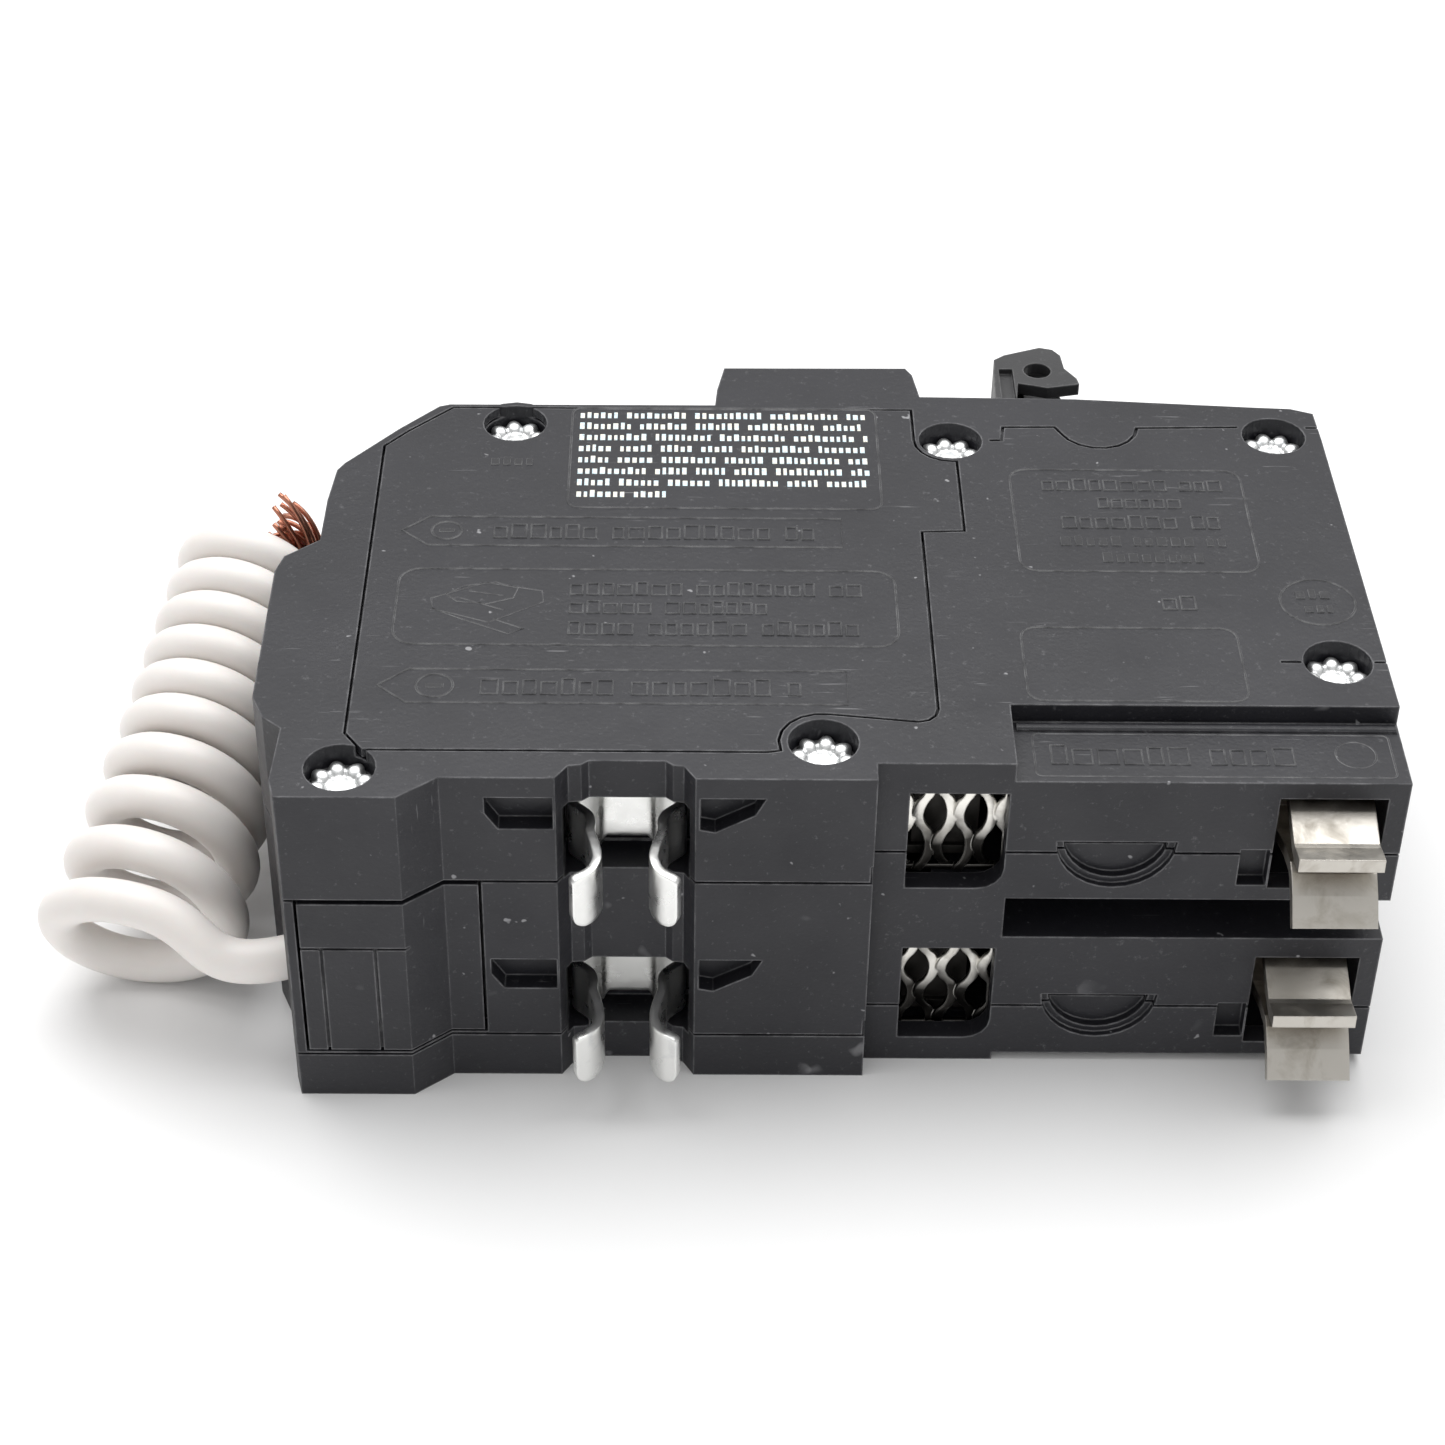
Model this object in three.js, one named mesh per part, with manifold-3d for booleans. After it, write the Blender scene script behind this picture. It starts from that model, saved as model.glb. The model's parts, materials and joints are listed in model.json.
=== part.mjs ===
// Two-pole ground-fault circuit breaker with a coiled neutral pigtail, lying on its side face.
// X runs from the load end to the line end, Y from the mounting side to the handle side, and
// Z across the two poles. All sizes are in millimetres.
//
// The outlines below are written from the back corner of the load end, and the whole group is
// then shifted so that the origin is on the lower side face, at ORIGIN.

import * as THREE from 'three';
import { mergeVertices } from 'three/addons/utils/BufferGeometryUtils.js';
import Module from 'manifold-3d';

const wasm = await Module();
wasm.setup();

// ---------------------------------------------------------------- driving dimensions

const ORIGIN = [52, 35];
const WIDTH = 38.1;
const GAP = 0.3;
const BEYOND = 8;

const FRONT_Y = 66.8;
const MID_PLANE_Y = 2.9;
const LINE_PLANE_Y = 5.3;
const LINE_END_X = 104.8;
const LINE_PART_X = 55.1;

const RAIL_STEP_X = 68;
const RAIL_STEP_Y = 14.15;
const RAIL_LEDGE_TOP = 36.0;
const RAIL_LEDGE_BOTTOM = 0.94;

// The case splits across its width at two stepped seams.
const SEAM_STEP_X = 55;
const LOWER_SEAM = { load: 5.5, line: 7.4 };
const UPPER_SEAM = { load: 25.4, line: 27.3 };

const POLES = [
  { tag: 'a', z: 8.6, low: 1.8, high: 15.3, jaw: 9.2, clip: 8.25, lug: 7.6 },
  { tag: 'b', z: 29.0, low: 22.5, high: 35.2, jaw: 29.1, clip: 28.5, lug: 30.25 },
];
const MIDDLE_Z = 19.05;
const LUGS = [
  { tag: 'a', z: 7.6 },
  { tag: 'n', z: MIDDLE_Z },
  { tag: 'b', z: 30.25 },
];

const RIVETS = [
  [19.2, 61.3], [65.0, 58.6], [99.2, 59.9], [5.7, 4.25], [50.2, 8.4], [100.0, 21.0],
];
const RIVET_BORE_R = 2.1;
const RIVET_SHANK_R = 1.8;
const COUNTERBORE_R = 3.33;
const COUNTERBORE_DEPTH = 2.6;
const BOSS_R = 4.0;

const HANDLE_PIVOT = [81, 57];
const HANDLE_AXLE_R = 1.6;
const ARM_PIVOT = [77.5, 49];
const ARM_AXLE_R = 0.9;
const TRIP_LEVER_PIVOT = [93, 46];
const TRIP_LEVER_AXLE_R = 1.2;
const TRIP_BAR_AXIS = [56, 56];
const TRIP_BAR_R = 1.7;
const AXLE_ENTRY = 0.9;
const RUNNING_CLEARANCE = 0.1;

const CLIP_MIDDLE_X = 31.95;
const CLIP_THICKNESS = 0.9;
const CLIP_WIDTH = 6.2;
const CLIP_SEAT = { halfWidth: 5.95, below: 3.5, above: 5.2, bottomY: 9.4 };

const SLOT = { x: 68, y: 16.5, low: 16.5, high: 21.5 };
const JAW = { x0: 93.9, x1: 101.9, thickness: 1.2 };
const JAW_POCKET_X = [92.8, 102.9];
const HALF_MOON = { x: 78.05, radius: 5.7, innerRadius: 5.0, depth: 0.7, innerDepth: 1.6 };

const BUTTON = { x0: 47.3, x1: 54.9, z0: 14.3, z1: 23.9, top: 73.4 };
const BLOCK_TOP_Y = 72.5;
const TEST_SWITCH_TOP = 60.2;
const SOLENOID = [50.3, MIDDLE_Z];
const LOAD_COVER = { x: [1.2, 18.0], z: [6.1, 24.95] };

const LUG_X = [4.6, 15.0];
const LUG_Y = [40.4, 53.0];
const LUG_HALF_WIDTH = 4.7;
const LUG_WALL = 1.3;
const LUG_FLOOR = 1.5;
const LUG_ROOF = 2.6;
const LUG_SEAT = { height: 0.25, halfWidth: 2.7, x: [4.6, 13.8] };
const LUG_SCREW_X = 9.0;

const WIRE_D = 4.4;
const CORD_EXIT = [-0.9, 5.6, 13.2];
const COIL_START = [-16.77, 10.8, 8.86];
const COIL_RISE = THREE.MathUtils.degToRad(16.44);
const COIL_TURN_IN = THREE.MathUtils.degToRad(10.11);
const COIL_END = 49.4;
const COIL_END_R = 6.28;

// ---------------------------------------------------------------- materials

const material = (color, roughness, metalness = 0) => (
  new THREE.MeshStandardMaterial({ color, roughness, metalness })
);
const blackPlastic = () => material(0x2d2d30, 0.62);
const darkPlastic = () => material(0x232326, 0.55);
const zinc = () => material(0xd6d8da, 0.25, 0.95);
const tinnedCopper = () => material(0xcfc8bd, 0.35, 0.9);
const copper = () => material(0xb2593a, 0.38, 0.95);
const steel = () => material(0x9a9da1, 0.35, 0.95);
const silver = () => material(0xe2e0da, 0.3, 0.95);
const insulation = () => material(0xf0ebe6, 0.5);

// ---------------------------------------------------------------- geometry helpers

const vector = ([x, y, z]) => new THREE.Vector3(x, y, z);

function arc([cx, cy], radius, from, to, steps) {
  return Array.from({ length: steps + 1 }, (_, i) => {
    const angle = THREE.MathUtils.degToRad(from + ((to - from) * i) / steps);
    return [cx + radius * Math.cos(angle), cy + radius * Math.sin(angle)];
  });
}

function extrude(points, length) {
  const shape = new THREE.Shape(points.map(([a, b]) => new THREE.Vector2(a, b)));
  return new THREE.ExtrudeGeometry(shape, { depth: length, bevelEnabled: false });
}

// A closed geometry with its equal vertices merged and its empty triangles left out.
function toSolid(geometry) {
  geometry.deleteAttribute('normal');
  geometry.deleteAttribute('uv');
  const merged = mergeVertices(geometry, 1e-5);
  const index = merged.index.array;
  const triangles = [];
  for (let i = 0; i < index.length; i += 3) {
    const [a, b, c] = [index[i], index[i + 1], index[i + 2]];
    if (a !== b && b !== c && c !== a) {
      triangles.push(a, b, c);
    }
  }
  return new wasm.Manifold(new wasm.Mesh({
    numProp: 3,
    vertProperties: Float32Array.from(merged.attributes.position.array),
    triVerts: Uint32Array.from(triangles),
  }));
}

// Outline in XY, standing from z0 to z1.
const prismZ = (points, z0, z1) => toSolid(extrude(points, z1 - z0).translate(0, 0, z0));

// Outline in YZ, running from x0 to x1.
function prismX(points, x0, x1) {
  const turn = new THREE.Matrix4().makeBasis(
    new THREE.Vector3(0, 1, 0), new THREE.Vector3(0, 0, 1), new THREE.Vector3(1, 0, 0),
  );
  return toSolid(extrude(points, x1 - x0).applyMatrix4(turn).translate(x0, 0, 0));
}

// Outline in XZ, running from y0 to y1.
function prismY(points, y0, y1) {
  return toSolid(extrude(points, y1 - y0).rotateX(Math.PI / 2).translate(0, y1, 0));
}

function box([x0, x1], [y0, y1], [z0, z1]) {
  const geometry = new THREE.BoxGeometry(x1 - x0, y1 - y0, z1 - z0);
  return toSolid(geometry.translate((x0 + x1) / 2, (y0 + y1) / 2, (z0 + z1) / 2));
}

function rodZ([x, y], radius, z0, z1, sides = 24) {
  return prismZ(arc([x, y], radius, 0, 360 - 360 / sides, sides - 1), z0, z1);
}

function rodX([y, z], radius, x0, x1, sides = 24) {
  return prismX(arc([y, z], radius, 0, 360 - 360 / sides, sides - 1), x0, x1);
}

function rodY([x, z], radius, y0, y1, sides = 24) {
  return prismY(arc([x, z], radius, 0, 360 - 360 / sides, sides - 1), y0, y1);
}

// An axle that enters the walls at both ends, and the wider hole that it turns in.
const axle = (centre, radius, low, high) => (
  rodZ(centre, radius, low - AXLE_ENTRY, high + AXLE_ENTRY, 16)
);
const bearing = (centre, radius, low, high) => (
  rodZ(centre, radius + RUNNING_CLEARANCE, low - AXLE_ENTRY - GAP, high + AXLE_ENTRY + GAP, 16)
);

const join = (first, ...others) => others.reduce((sum, other) => sum.add(other), first);
const cut = (first, ...others) => others.reduce((rest, other) => rest.subtract(other), first);

const unit = ([ax, ay], [bx, by]) => {
  const length = Math.hypot(bx - ax, by - ay);
  return [(bx - ax) / length, (by - ay) / length];
};

// The point beside a corner of a path, at a given distance to its left, with a mitre.
function beside(before, corner, after, distance) {
  const into = unit(before, corner);
  const out = unit(corner, after);
  const normal = [-(into[1] + out[1]), into[0] + out[0]];
  const scale = distance / (1 + into[0] * out[0] + into[1] * out[1]);
  return [corner[0] + normal[0] * scale, corner[1] + normal[1] * scale];
}

// The outline of sheet metal of one thickness, bent along an open path.
function strip(path, thickness) {
  const ahead = (i) => (i + 1 < path.length ? path[i + 1]
    : [2 * path[i][0] - path[i - 1][0], 2 * path[i][1] - path[i - 1][1]]);
  const behind = (i) => (i > 0 ? path[i - 1]
    : [2 * path[0][0] - path[1][0], 2 * path[0][1] - path[1][1]]);
  const side = (distance) => path.map((p, i) => beside(behind(i), p, ahead(i), distance));
  return [...side(-thickness / 2), ...side(thickness / 2).reverse()];
}

// A closed anticlockwise outline moved outwards by a distance.
function grow(points, distance) {
  const n = points.length;
  return points.map((p, i) => beside(points[(i + n - 1) % n], p, points[(i + 1) % n], -distance));
}

const mirrorX = (points, middle) => points.map(([x, y]) => [2 * middle - x, y]).reverse();

class RouteCurve extends THREE.Curve {
  constructor(pointAt) {
    super();
    this.pointAt = pointAt;
  }

  getPoint(t, target = new THREE.Vector3()) {
    return target.copy(this.pointAt(t));
  }
}

// A round wire along a curve, with flat ends.
function tube(curve, radius, steps, sides = 8) {
  const section = new THREE.Shape(
    arc([0, 0], radius, 0, 360 - 360 / sides, sides - 1).map(([a, b]) => new THREE.Vector2(a, b)),
  );
  return toSolid(new THREE.ExtrudeGeometry(section, {
    steps, curveSegments: 1, bevelEnabled: false, extrudePath: curve,
  }));
}

// A coil spring between two points.
function spring(start, end, radius, wireRadius, turns) {
  const from = vector(start);
  const along = vector(end).sub(from);
  const axis = along.clone().normalize();
  const across = new THREE.Vector3(0, 0, 1).cross(axis).normalize();
  const up = axis.clone().cross(across);
  const curve = new RouteCurve((t) => {
    const angle = 2 * Math.PI * turns * t;
    return from.clone()
      .addScaledVector(along, t)
      .addScaledVector(across, radius * Math.cos(angle))
      .addScaledVector(up, radius * Math.sin(angle));
  });
  return tube(curve, wireRadius, turns * 9, 5);
}

// ---------------------------------------------------------------- the object's group

const breaker = new THREE.Group();
breaker.name = 'gfci_breaker';
breaker.position.set(-ORIGIN[0], -ORIGIN[1], 0);

function addPiece(name, solid, finish) {
  const { vertProperties, triVerts } = solid.getMesh();
  const geometry = new THREE.BufferGeometry();
  geometry.setAttribute('position', new THREE.BufferAttribute(Float32Array.from(vertProperties), 3));
  geometry.setIndex(new THREE.BufferAttribute(Uint32Array.from(triVerts), 1));
  geometry.computeVertexNormals();
  const mesh = new THREE.Mesh(geometry, finish);
  mesh.name = name;
  breaker.add(mesh);
}

// ---------------------------------------------------------------- case outlines

const CASE_OUTLINE = [
  [0, 0], [11.1, 0], [14.8, MID_PLANE_Y], [LINE_PART_X, MID_PLANE_Y],
  [LINE_PART_X, LINE_PLANE_Y], [LINE_END_X, LINE_PLANE_Y],
  [LINE_END_X, 14], [104.2, 59], [104.0, 64.2], [101.7, 65.1], [96.9, 65.4],
  [78.8, 66.7], [62.2, 66.9], [61.6, 71.2], [60.9, BLOCK_TOP_Y], [41.3, 72.3],
  [40.5, 67.9], [40.3, 65.0], [12.1, 64.8], [11.0, 64.4], [7.1, 60.1], [1.9, 53.6],
  [1.2, 52.3], [0.7, 46.9], [0.6, 39.9], [-2.7, 37.1], [-3.4, 34.5], [-3.4, 14.5],
  [-2.2, 11.6], [-0.3, 9.9], [-0.6, 2.3],
];

// The hollow inside, about one wall thickness inside the outline.
const CAVITY_OUTLINE = [
  [-1.6, 16.5], [2.4, 12.2], [10.8, 10.6], [13.0, 6.4], [24.2, 6.4], [24.2, 11.0],
  [39.6, 11.0], [39.6, 6.4], [56.9, 6.4], [56.9, 7.6], [102.9, 7.6], [102.9, 57.6],
  [101.6, 62.6], [97.0, 63.5], [64.0, 64.9], [61.6, 65.2], [60.0, 70.4], [42.2, 70.4],
  [41.8, 62.9], [12.9, 62.9], [8.4, 58.6], [3.6, 52.4], [2.6, 46.5], [2.4, 39.0],
  [-0.9, 35.7],
];

const SIDE_COVER_OUTLINE = [
  [5.9, 9.3], [7.5, 7.0], [45.0, 7.0],
  ...arc([50.2, 8.4], 4.3, 196, 80, 6),
  [59.2, 11.6], ...arc([59.2, 13.4], 1.8, -60, 0, 2),
  [61.0, 42.2], [65.3, 42.4], [65.3, 54.6],
  ...arc([65.0, 58.6], 4.0, 270, 180, 5),
  [61.0, 64.2], [12.6, 64.1], [8.2, 59.6], [5.9, 56.8],
];

const CLIP_CHANNEL_OUTLINE = [
  [25.3, MID_PLANE_Y - 1], [38.5, MID_PLANE_Y - 1], [38.5, MID_PLANE_Y - 0.2], [37.3, 4.7],
  [36.3, 4.85], [35.6, 5.45], [28.5, 5.45], [27.8, 4.85], [26.6, 4.7], [25.3, MID_PLANE_Y - 0.2],
];

const ARC_WINDOWS = [
  { x: [58.5, 67.5], z: [3.0, 15.0] },
  { x: [58.3, 67.6], z: [22.75, 34.5] },
];

// ---------------------------------------------------------------- case

function solidBody() {
  const stepX = [RAIL_STEP_X, LINE_END_X + BEYOND];
  return cut(
    prismZ(CASE_OUTLINE, 0, WIDTH),
    box(stepX, [-BEYOND, RAIL_STEP_Y], [RAIL_LEDGE_TOP, WIDTH + BEYOND]),
    box(stepX, [-BEYOND, RAIL_STEP_Y], [-BEYOND, RAIL_LEDGE_BOTTOM]),
  );
}

// Room for each pole's mechanism, the electronics bay beside them and the cored partition.
function hollows() {
  const railStepRoof = box([RAIL_STEP_X - 1.5, LINE_END_X], [0, RAIL_STEP_Y + 1.6], [34.4, WIDTH]);
  const bay = box([-BEYOND, 61], [0, FRONT_Y + BEYOND], [POLES[0].low, POLES[1].high]);
  const wholeCavity = prismZ(CAVITY_OUTLINE, POLES[0].low, POLES[1].high);
  const poles = POLES.map(({ low, high }) => prismZ(CAVITY_OUTLINE, low, high));
  return cut(
    join(wholeCavity.intersect(bay), ...poles, box([60, 96], [26, 54], [16.7, 21.3])),
    railStepRoof,
  );
}

function bosses() {
  return RIVETS.map((centre) => rodZ(centre, BOSS_R, 0, WIDTH, 16));
}

function rivetHoles() {
  return RIVETS.flatMap((centre) => [
    rodZ(centre, RIVET_BORE_R, -1, WIDTH + 1, 12),
    rodZ(centre, COUNTERBORE_R, WIDTH - COUNTERBORE_DEPTH, WIDTH + 1, 24),
    rodZ(centre, COUNTERBORE_R, -1, COUNTERBORE_DEPTH, 16),
  ]);
}

function bearings() {
  const inPoles = POLES.flatMap(({ low, high }) => [
    bearing(HANDLE_PIVOT, HANDLE_AXLE_R, low, high),
    bearing(ARM_PIVOT, ARM_AXLE_R, low, high),
    bearing(TRIP_LEVER_PIVOT, TRIP_LEVER_AXLE_R, low, high),
  ]);
  return [...inPoles, bearing(TRIP_BAR_AXIS, TRIP_BAR_R, POLES[0].low, POLES[1].high)];
}

// Seats of the two rail clips, in a channel that runs the whole way across the mounting side.
function clipRecesses() {
  const { halfWidth, below, above, bottomY } = CLIP_SEAT;
  const x = [CLIP_MIDDLE_X - halfWidth, CLIP_MIDDLE_X + halfWidth];
  const channel = prismZ(CLIP_CHANNEL_OUTLINE, -1, WIDTH + 1);
  return [channel, ...POLES.map(({ clip }) => box(x, [-1, bottomY], [clip - below, clip + above]))];
}

// Shallow moulded pockets on the mounting side: beside the clips and in the line part.
function mouldedPockets() {
  const besideClips = POLES.flatMap(({ clip }) => [
    prismY([[18.9, clip + 5.3], [20.1, clip + 3.4], [25.2, clip + 3.4], [25.2, clip + 7.2],
      [18.9, clip + 7.2]], 0, 4.8),
    prismY([[38.8, clip + 3.4], [40.2, clip + 3.1], [43.9, clip + 5.2], [44.9, clip + 7.2],
      [38.8, clip + 7.2]], 0, 4.8),
  ]);
  const { x, radius, innerRadius, depth, innerDepth } = HALF_MOON;
  const halfMoons = [8.95, 28.7].flatMap((top) => [
    prismY(arc([x, top], radius, 180, 360, 14), 0, LINE_PLANE_Y + depth),
    prismY(arc([x, top], innerRadius, 180, 360, 14), 0, LINE_PLANE_Y + innerDepth),
  ]);
  const squares = [3.4, 23.35].map((z) => box([89.8, 92.6], [0, LINE_PLANE_Y + 1.5], [z, z + 4.45]));
  return [...besideClips, ...halfMoons, ...squares];
}

function lineEndOpenings() {
  const windows = ARC_WINDOWS.map(({ x, z }) => prismY([
    [x[0], z[1]], [x[0], z[0]], ...arc([x[1] - 2.5, z[0] + 2.5], 2.5, 270, 360, 4), [x[1], z[1]],
  ], 0, 9));
  const jaws = [box(JAW_POCKET_X, [0, 9], [2.6, 14.0]), box(JAW_POCKET_X, [0, 9], [23.0, 34.1])];
  const barrierSlot = box([SLOT.x, LINE_END_X + 1], [0, SLOT.y], [SLOT.low, SLOT.high]);
  return [...windows, ...jaws, barrierSlot];
}

function frontOpenings() {
  const handleSlots = POLES.map(({ low, high }) => (
    box([74.3, 88.6], [60, FRONT_Y + BEYOND], [low + 0.9, high - 0.9])
  ));
  const buttonHole = box(
    [BUTTON.x0 - GAP, BUTTON.x1 + GAP], [69, BLOCK_TOP_Y + 1], [BUTTON.z0 - GAP, BUTTON.z1 + GAP],
  );
  return [...handleSlots, buttonHole];
}

function loadEndOpenings() {
  const wireEntries = LUGS.map(({ z }) => box([-BEYOND, 3.4], [41, 50], [z - 4.2, z + 4.2]));
  const screwHoles = LUGS.map(({ z }) => rodY([LUG_SCREW_X, z], 3.6, 53, FRONT_Y, 16));
  const [, exitY, exitZ] = CORD_EXIT;
  return [...wireEntries, ...screwHoles, rodX([exitY, exitZ], 3.3, -BEYOND, 3.3)];
}

function loadCoverPocket() {
  const outline = [
    [LOAD_COVER.x[0] - GAP, -1], [LOAD_COVER.x[1] + GAP, -1], [LOAD_COVER.x[1] + GAP, 4.8],
    [14.1, 4.8], [10.4, 1.9], [LOAD_COVER.x[0] - GAP, 1.9],
  ];
  return prismZ(outline, LOAD_COVER.z[0] - GAP, LOAD_COVER.z[1] + GAP);
}

// Fine parting grooves on the upper side face.
function sideGrooves() {
  const paths = [
    [[69.1, 58.7], [70.4, 58.7], [70.7, 61.2], [76.2, 61.3], ...arc([80.7, 61.6], 4.2, 200, 355, 8),
      [95.6, 61.5]],
    [[102.8, 61.5], [105, 61.5]],
    [[94.5, 21], [96.5, 21]],
    [[103.5, 21], [105, 21]],
  ];
  return paths.map((path) => prismZ(strip(path, 0.35), WIDTH - 0.5, WIDTH + 1));
}

function caseRegions() {
  const far = LINE_END_X + BEYOND;
  const half = GAP / 2;
  const seam = ({ load, line }, side) => {
    const x = SEAM_STEP_X + side * half;
    return [[-BEYOND, load - side * half], [x, load - side * half],
      [x, line - side * half], [far, line - side * half]];
  };
  const closed = (below, above) => prismY([...below, ...above.reverse()], -BEYOND, FRONT_Y + BEYOND);
  const bottom = [[-BEYOND, -1], [far, -1]];
  const top = [[-BEYOND, WIDTH + 1], [far, WIDTH + 1]];
  return {
    base_case: closed(bottom, seam(LOWER_SEAM, 1)),
    center_case: closed(seam(LOWER_SEAM, -1), seam(UPPER_SEAM, 1)),
    upper_case: closed(seam(UPPER_SEAM, -1), top),
  };
}

function addCase() {
  const sideCoverSeat = prismZ(grow(SIDE_COVER_OUTLINE, GAP), WIDTH - 1.3, WIDTH + 1);
  const shell = cut(
    join(solidBody().subtract(hollows()), ...bosses()),
    ...rivetHoles(), ...clipRecesses(), ...mouldedPockets(), ...lineEndOpenings(),
    ...frontOpenings(), ...loadEndOpenings(), ...bearings(), loadCoverPocket(), sideCoverSeat,
    ...sideGrooves(),
  );
  for (const [name, region] of Object.entries(caseRegions())) {
    addPiece(name, shell.intersect(region), blackPlastic());
  }
}

function addSideCover() {
  const plate = prismZ(SIDE_COVER_OUTLINE, WIDTH - 1.0, WIDTH);
  const rivetHole = rodZ(RIVETS[0], COUNTERBORE_R, 0, WIDTH + 1, 24);
  addPiece('load_side_cover', plate.subtract(rivetHole), blackPlastic());
}

function addLoadCover() {
  const [x0, x1] = LOAD_COVER.x;
  const [z0, z1] = LOAD_COVER.z;
  const plate = prismZ([
    [x0, 0], [11.1, 0], [14.8, MID_PLANE_Y], [x1, MID_PLANE_Y],
    [x1, 4.5], [14.2, 4.5], [10.5, 1.6], [x0, 1.6],
  ], z0, z1);
  const grooves = [
    box([x0 - 1, 12], [-1, 0.35], [19.15, 19.45]),
    box([3.0, 3.3], [-1, 0.35], [z0 - 1, 19.2]),
    box([8.1, 8.4], [-1, 0.35], [z0 - 1, 19.2]),
  ];
  addPiece('load_back_cover', cut(plate, ...grooves), blackPlastic());
}

// ---------------------------------------------------------------- rivets and clips

// A tubular rivet: round head below, petals rolled open in a star above.
function rivet(centre) {
  const lobes = 8;
  const petals = Array.from({ length: lobes * 3 }, (_, i) => {
    const angle = (2 * Math.PI * i) / (lobes * 3);
    const radius = 2.3 + 0.6 * Math.cos(lobes * angle);
    return [centre[0] + radius * Math.cos(angle), centre[1] + radius * Math.sin(angle)];
  });
  const seatTop = WIDTH - COUNTERBORE_DEPTH + GAP;
  return cut(
    join(
      rodZ(centre, 2.9, 0.9, COUNTERBORE_DEPTH - GAP, 12),
      rodZ(centre, RIVET_SHANK_R, COUNTERBORE_DEPTH - GAP - 0.1, seatTop + 0.1, 10),
      prismZ(petals, seatTop, seatTop + 1.1),
    ),
    rodZ(centre, 0.95, seatTop - 2, WIDTH, 10),
  );
}

function clipProfile() {
  const leftLeg = [
    [27.0, -3.1], [29.0, -1.3], [28.95, -0.7], [28.6, 0.3], [28.6, 5.2], [27.2, 6.6], [27.0, 8.5],
  ];
  return strip([...leftLeg, ...mirrorX(leftLeg, CLIP_MIDDLE_X)], CLIP_THICKNESS);
}

// The clip's legs end in a tongue that is rounded at its lower corner.
function railClip(middleZ) {
  const low = middleZ - CLIP_WIDTH / 2;
  const corner = [[-1.4, low - 1], [-4.5, low - 1], [-4.5, low + 1.6], [-3.3, low + 0.9], [-2.2, low]];
  return cut(prismZ(clipProfile(), low, low + CLIP_WIDTH), prismX(corner, 25, 39));
}

// ---------------------------------------------------------------- line side of each pole

// Two facing blades that grip a bus stab, standing on the strap that carries the fixed contact.
function lineJaw(z) {
  const upperBlade = strip(
    [[13.9, z + 3.9], [9.5, z + 3.9], [6.5, z + 3.2], [2.2, z + 1.7], [0.8, z + 1.75]], JAW.thickness,
  );
  const upperLip = [[1.4, z + 1.0], [1.4, z + 2.4], [-0.9, z + 2.9], [-1.0, z + 1.5]];
  const lowerBlade = strip(
    [[13.9, z - 3.1], [9.5, z - 3.0], [5.4, z - 1.4], [2.6, z - 0.9], [1.6, z - 1.2],
      [0, z - 2.4], [-2.0, z - 4.6]], JAW.thickness,
  );
  const x = [JAW.x0, JAW.x1];
  const chamfer = prismY([[JAW.x0 - 1, z - 7], [JAW.x0 + 2, z - 7], [JAW.x0 - 1, z - 3.8]], -4, -1.2);
  const strap = strip([[77.8, 24.5], [77.8, 15.6], [101.6, 15.6]], 1.4);
  return cut(join(
    prismX(upperBlade, ...x),
    prismX(upperLip, ...x),
    prismX(lowerBlade, ...x),
    box(x, [13.3, 15.0], [z - 3.7, z + 4.5]),
    prismZ(strap, z - 3, z + 3),
    box([75.6, 77.2], [19, 23.6], [z - 2.1, z + 2.1]),
  ), chamfer);
}

// Expanded metal behind the arc vent: a plate with diamond holes in staggered rows.
function ventScreen({ x, z }) {
  const [pitchX, pitchZ, strand] = [4.4, 5.6, 0.75];
  const rim = 1.0;
  const holes = [];
  for (let row = -3; row <= 3; row += 1) {
    for (let column = -2; column <= 2; column += 1) {
      const cx = (x[0] + x[1]) / 2 + (column + (row % 2) / 2) * pitchX;
      const cz = (z[0] + z[1]) / 2 + (row * pitchZ) / 2;
      if (Math.abs(cx - (x[0] + x[1]) / 2) < 4.6 && Math.abs(cz - (z[0] + z[1]) / 2) < 6) {
        const [hx, hz] = [pitchX / 2 - strand, pitchZ / 2 - strand];
        holes.push(prismY([[cx - hx, cz], [cx, cz - hz], [cx + hx, cz], [cx, cz + hz]], 7, 10));
      }
    }
  }
  const z0 = Math.max(z[0] - rim, z[0] < 20 ? 2.1 : 22.8);
  const z1 = Math.min(z[1] + rim, z[0] < 20 ? 15.0 : 34.1);
  const open = join(...holes).intersect(box(x, [7, 10], [z0 + 0.6, z1 - 0.6]));
  return box([x[0] - rim, x[1] + rim], [7.9, 8.7], [z0, z1]).subtract(open);
}

// Steel plates held between two fibre cheeks, in front of the vent.
function arcChute(z) {
  const plates = [10, 12, 14, 16, 18].map((y) => box([59, 65.4], [y, y + 0.8], [z - 4.6, z + 4.6]));
  const cheeks = [z - 5.4, z + 4.4].map((side) => box([58.6, 65.6], [9.4, 19.2], [side, side + 1]));
  return join(...cheeks, ...plates);
}

function contactArm({ z, low, high }) {
  const blade = prismZ([
    [75.4, 50.2], [75.2, 47.6], [71.6, 37], [66.0, 22.4], [66.6, 19.6], [68.4, 19.2], [69.3, 21.0],
    [74.2, 35.2], [79.4, 47.2], [79.4, 50.4], [78.4, 51.4], [76.4, 51.4],
  ], z - 1, z + 1);
  const contact = prismZ([[68.0, 19.0], [69.6, 18.5], [71.1, 22.4], [69.5, 23.0]], z - 2.1, z + 2.1);
  return join(blade, contact, axle(ARM_PIVOT, ARM_AXLE_R, low, high));
}

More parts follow.
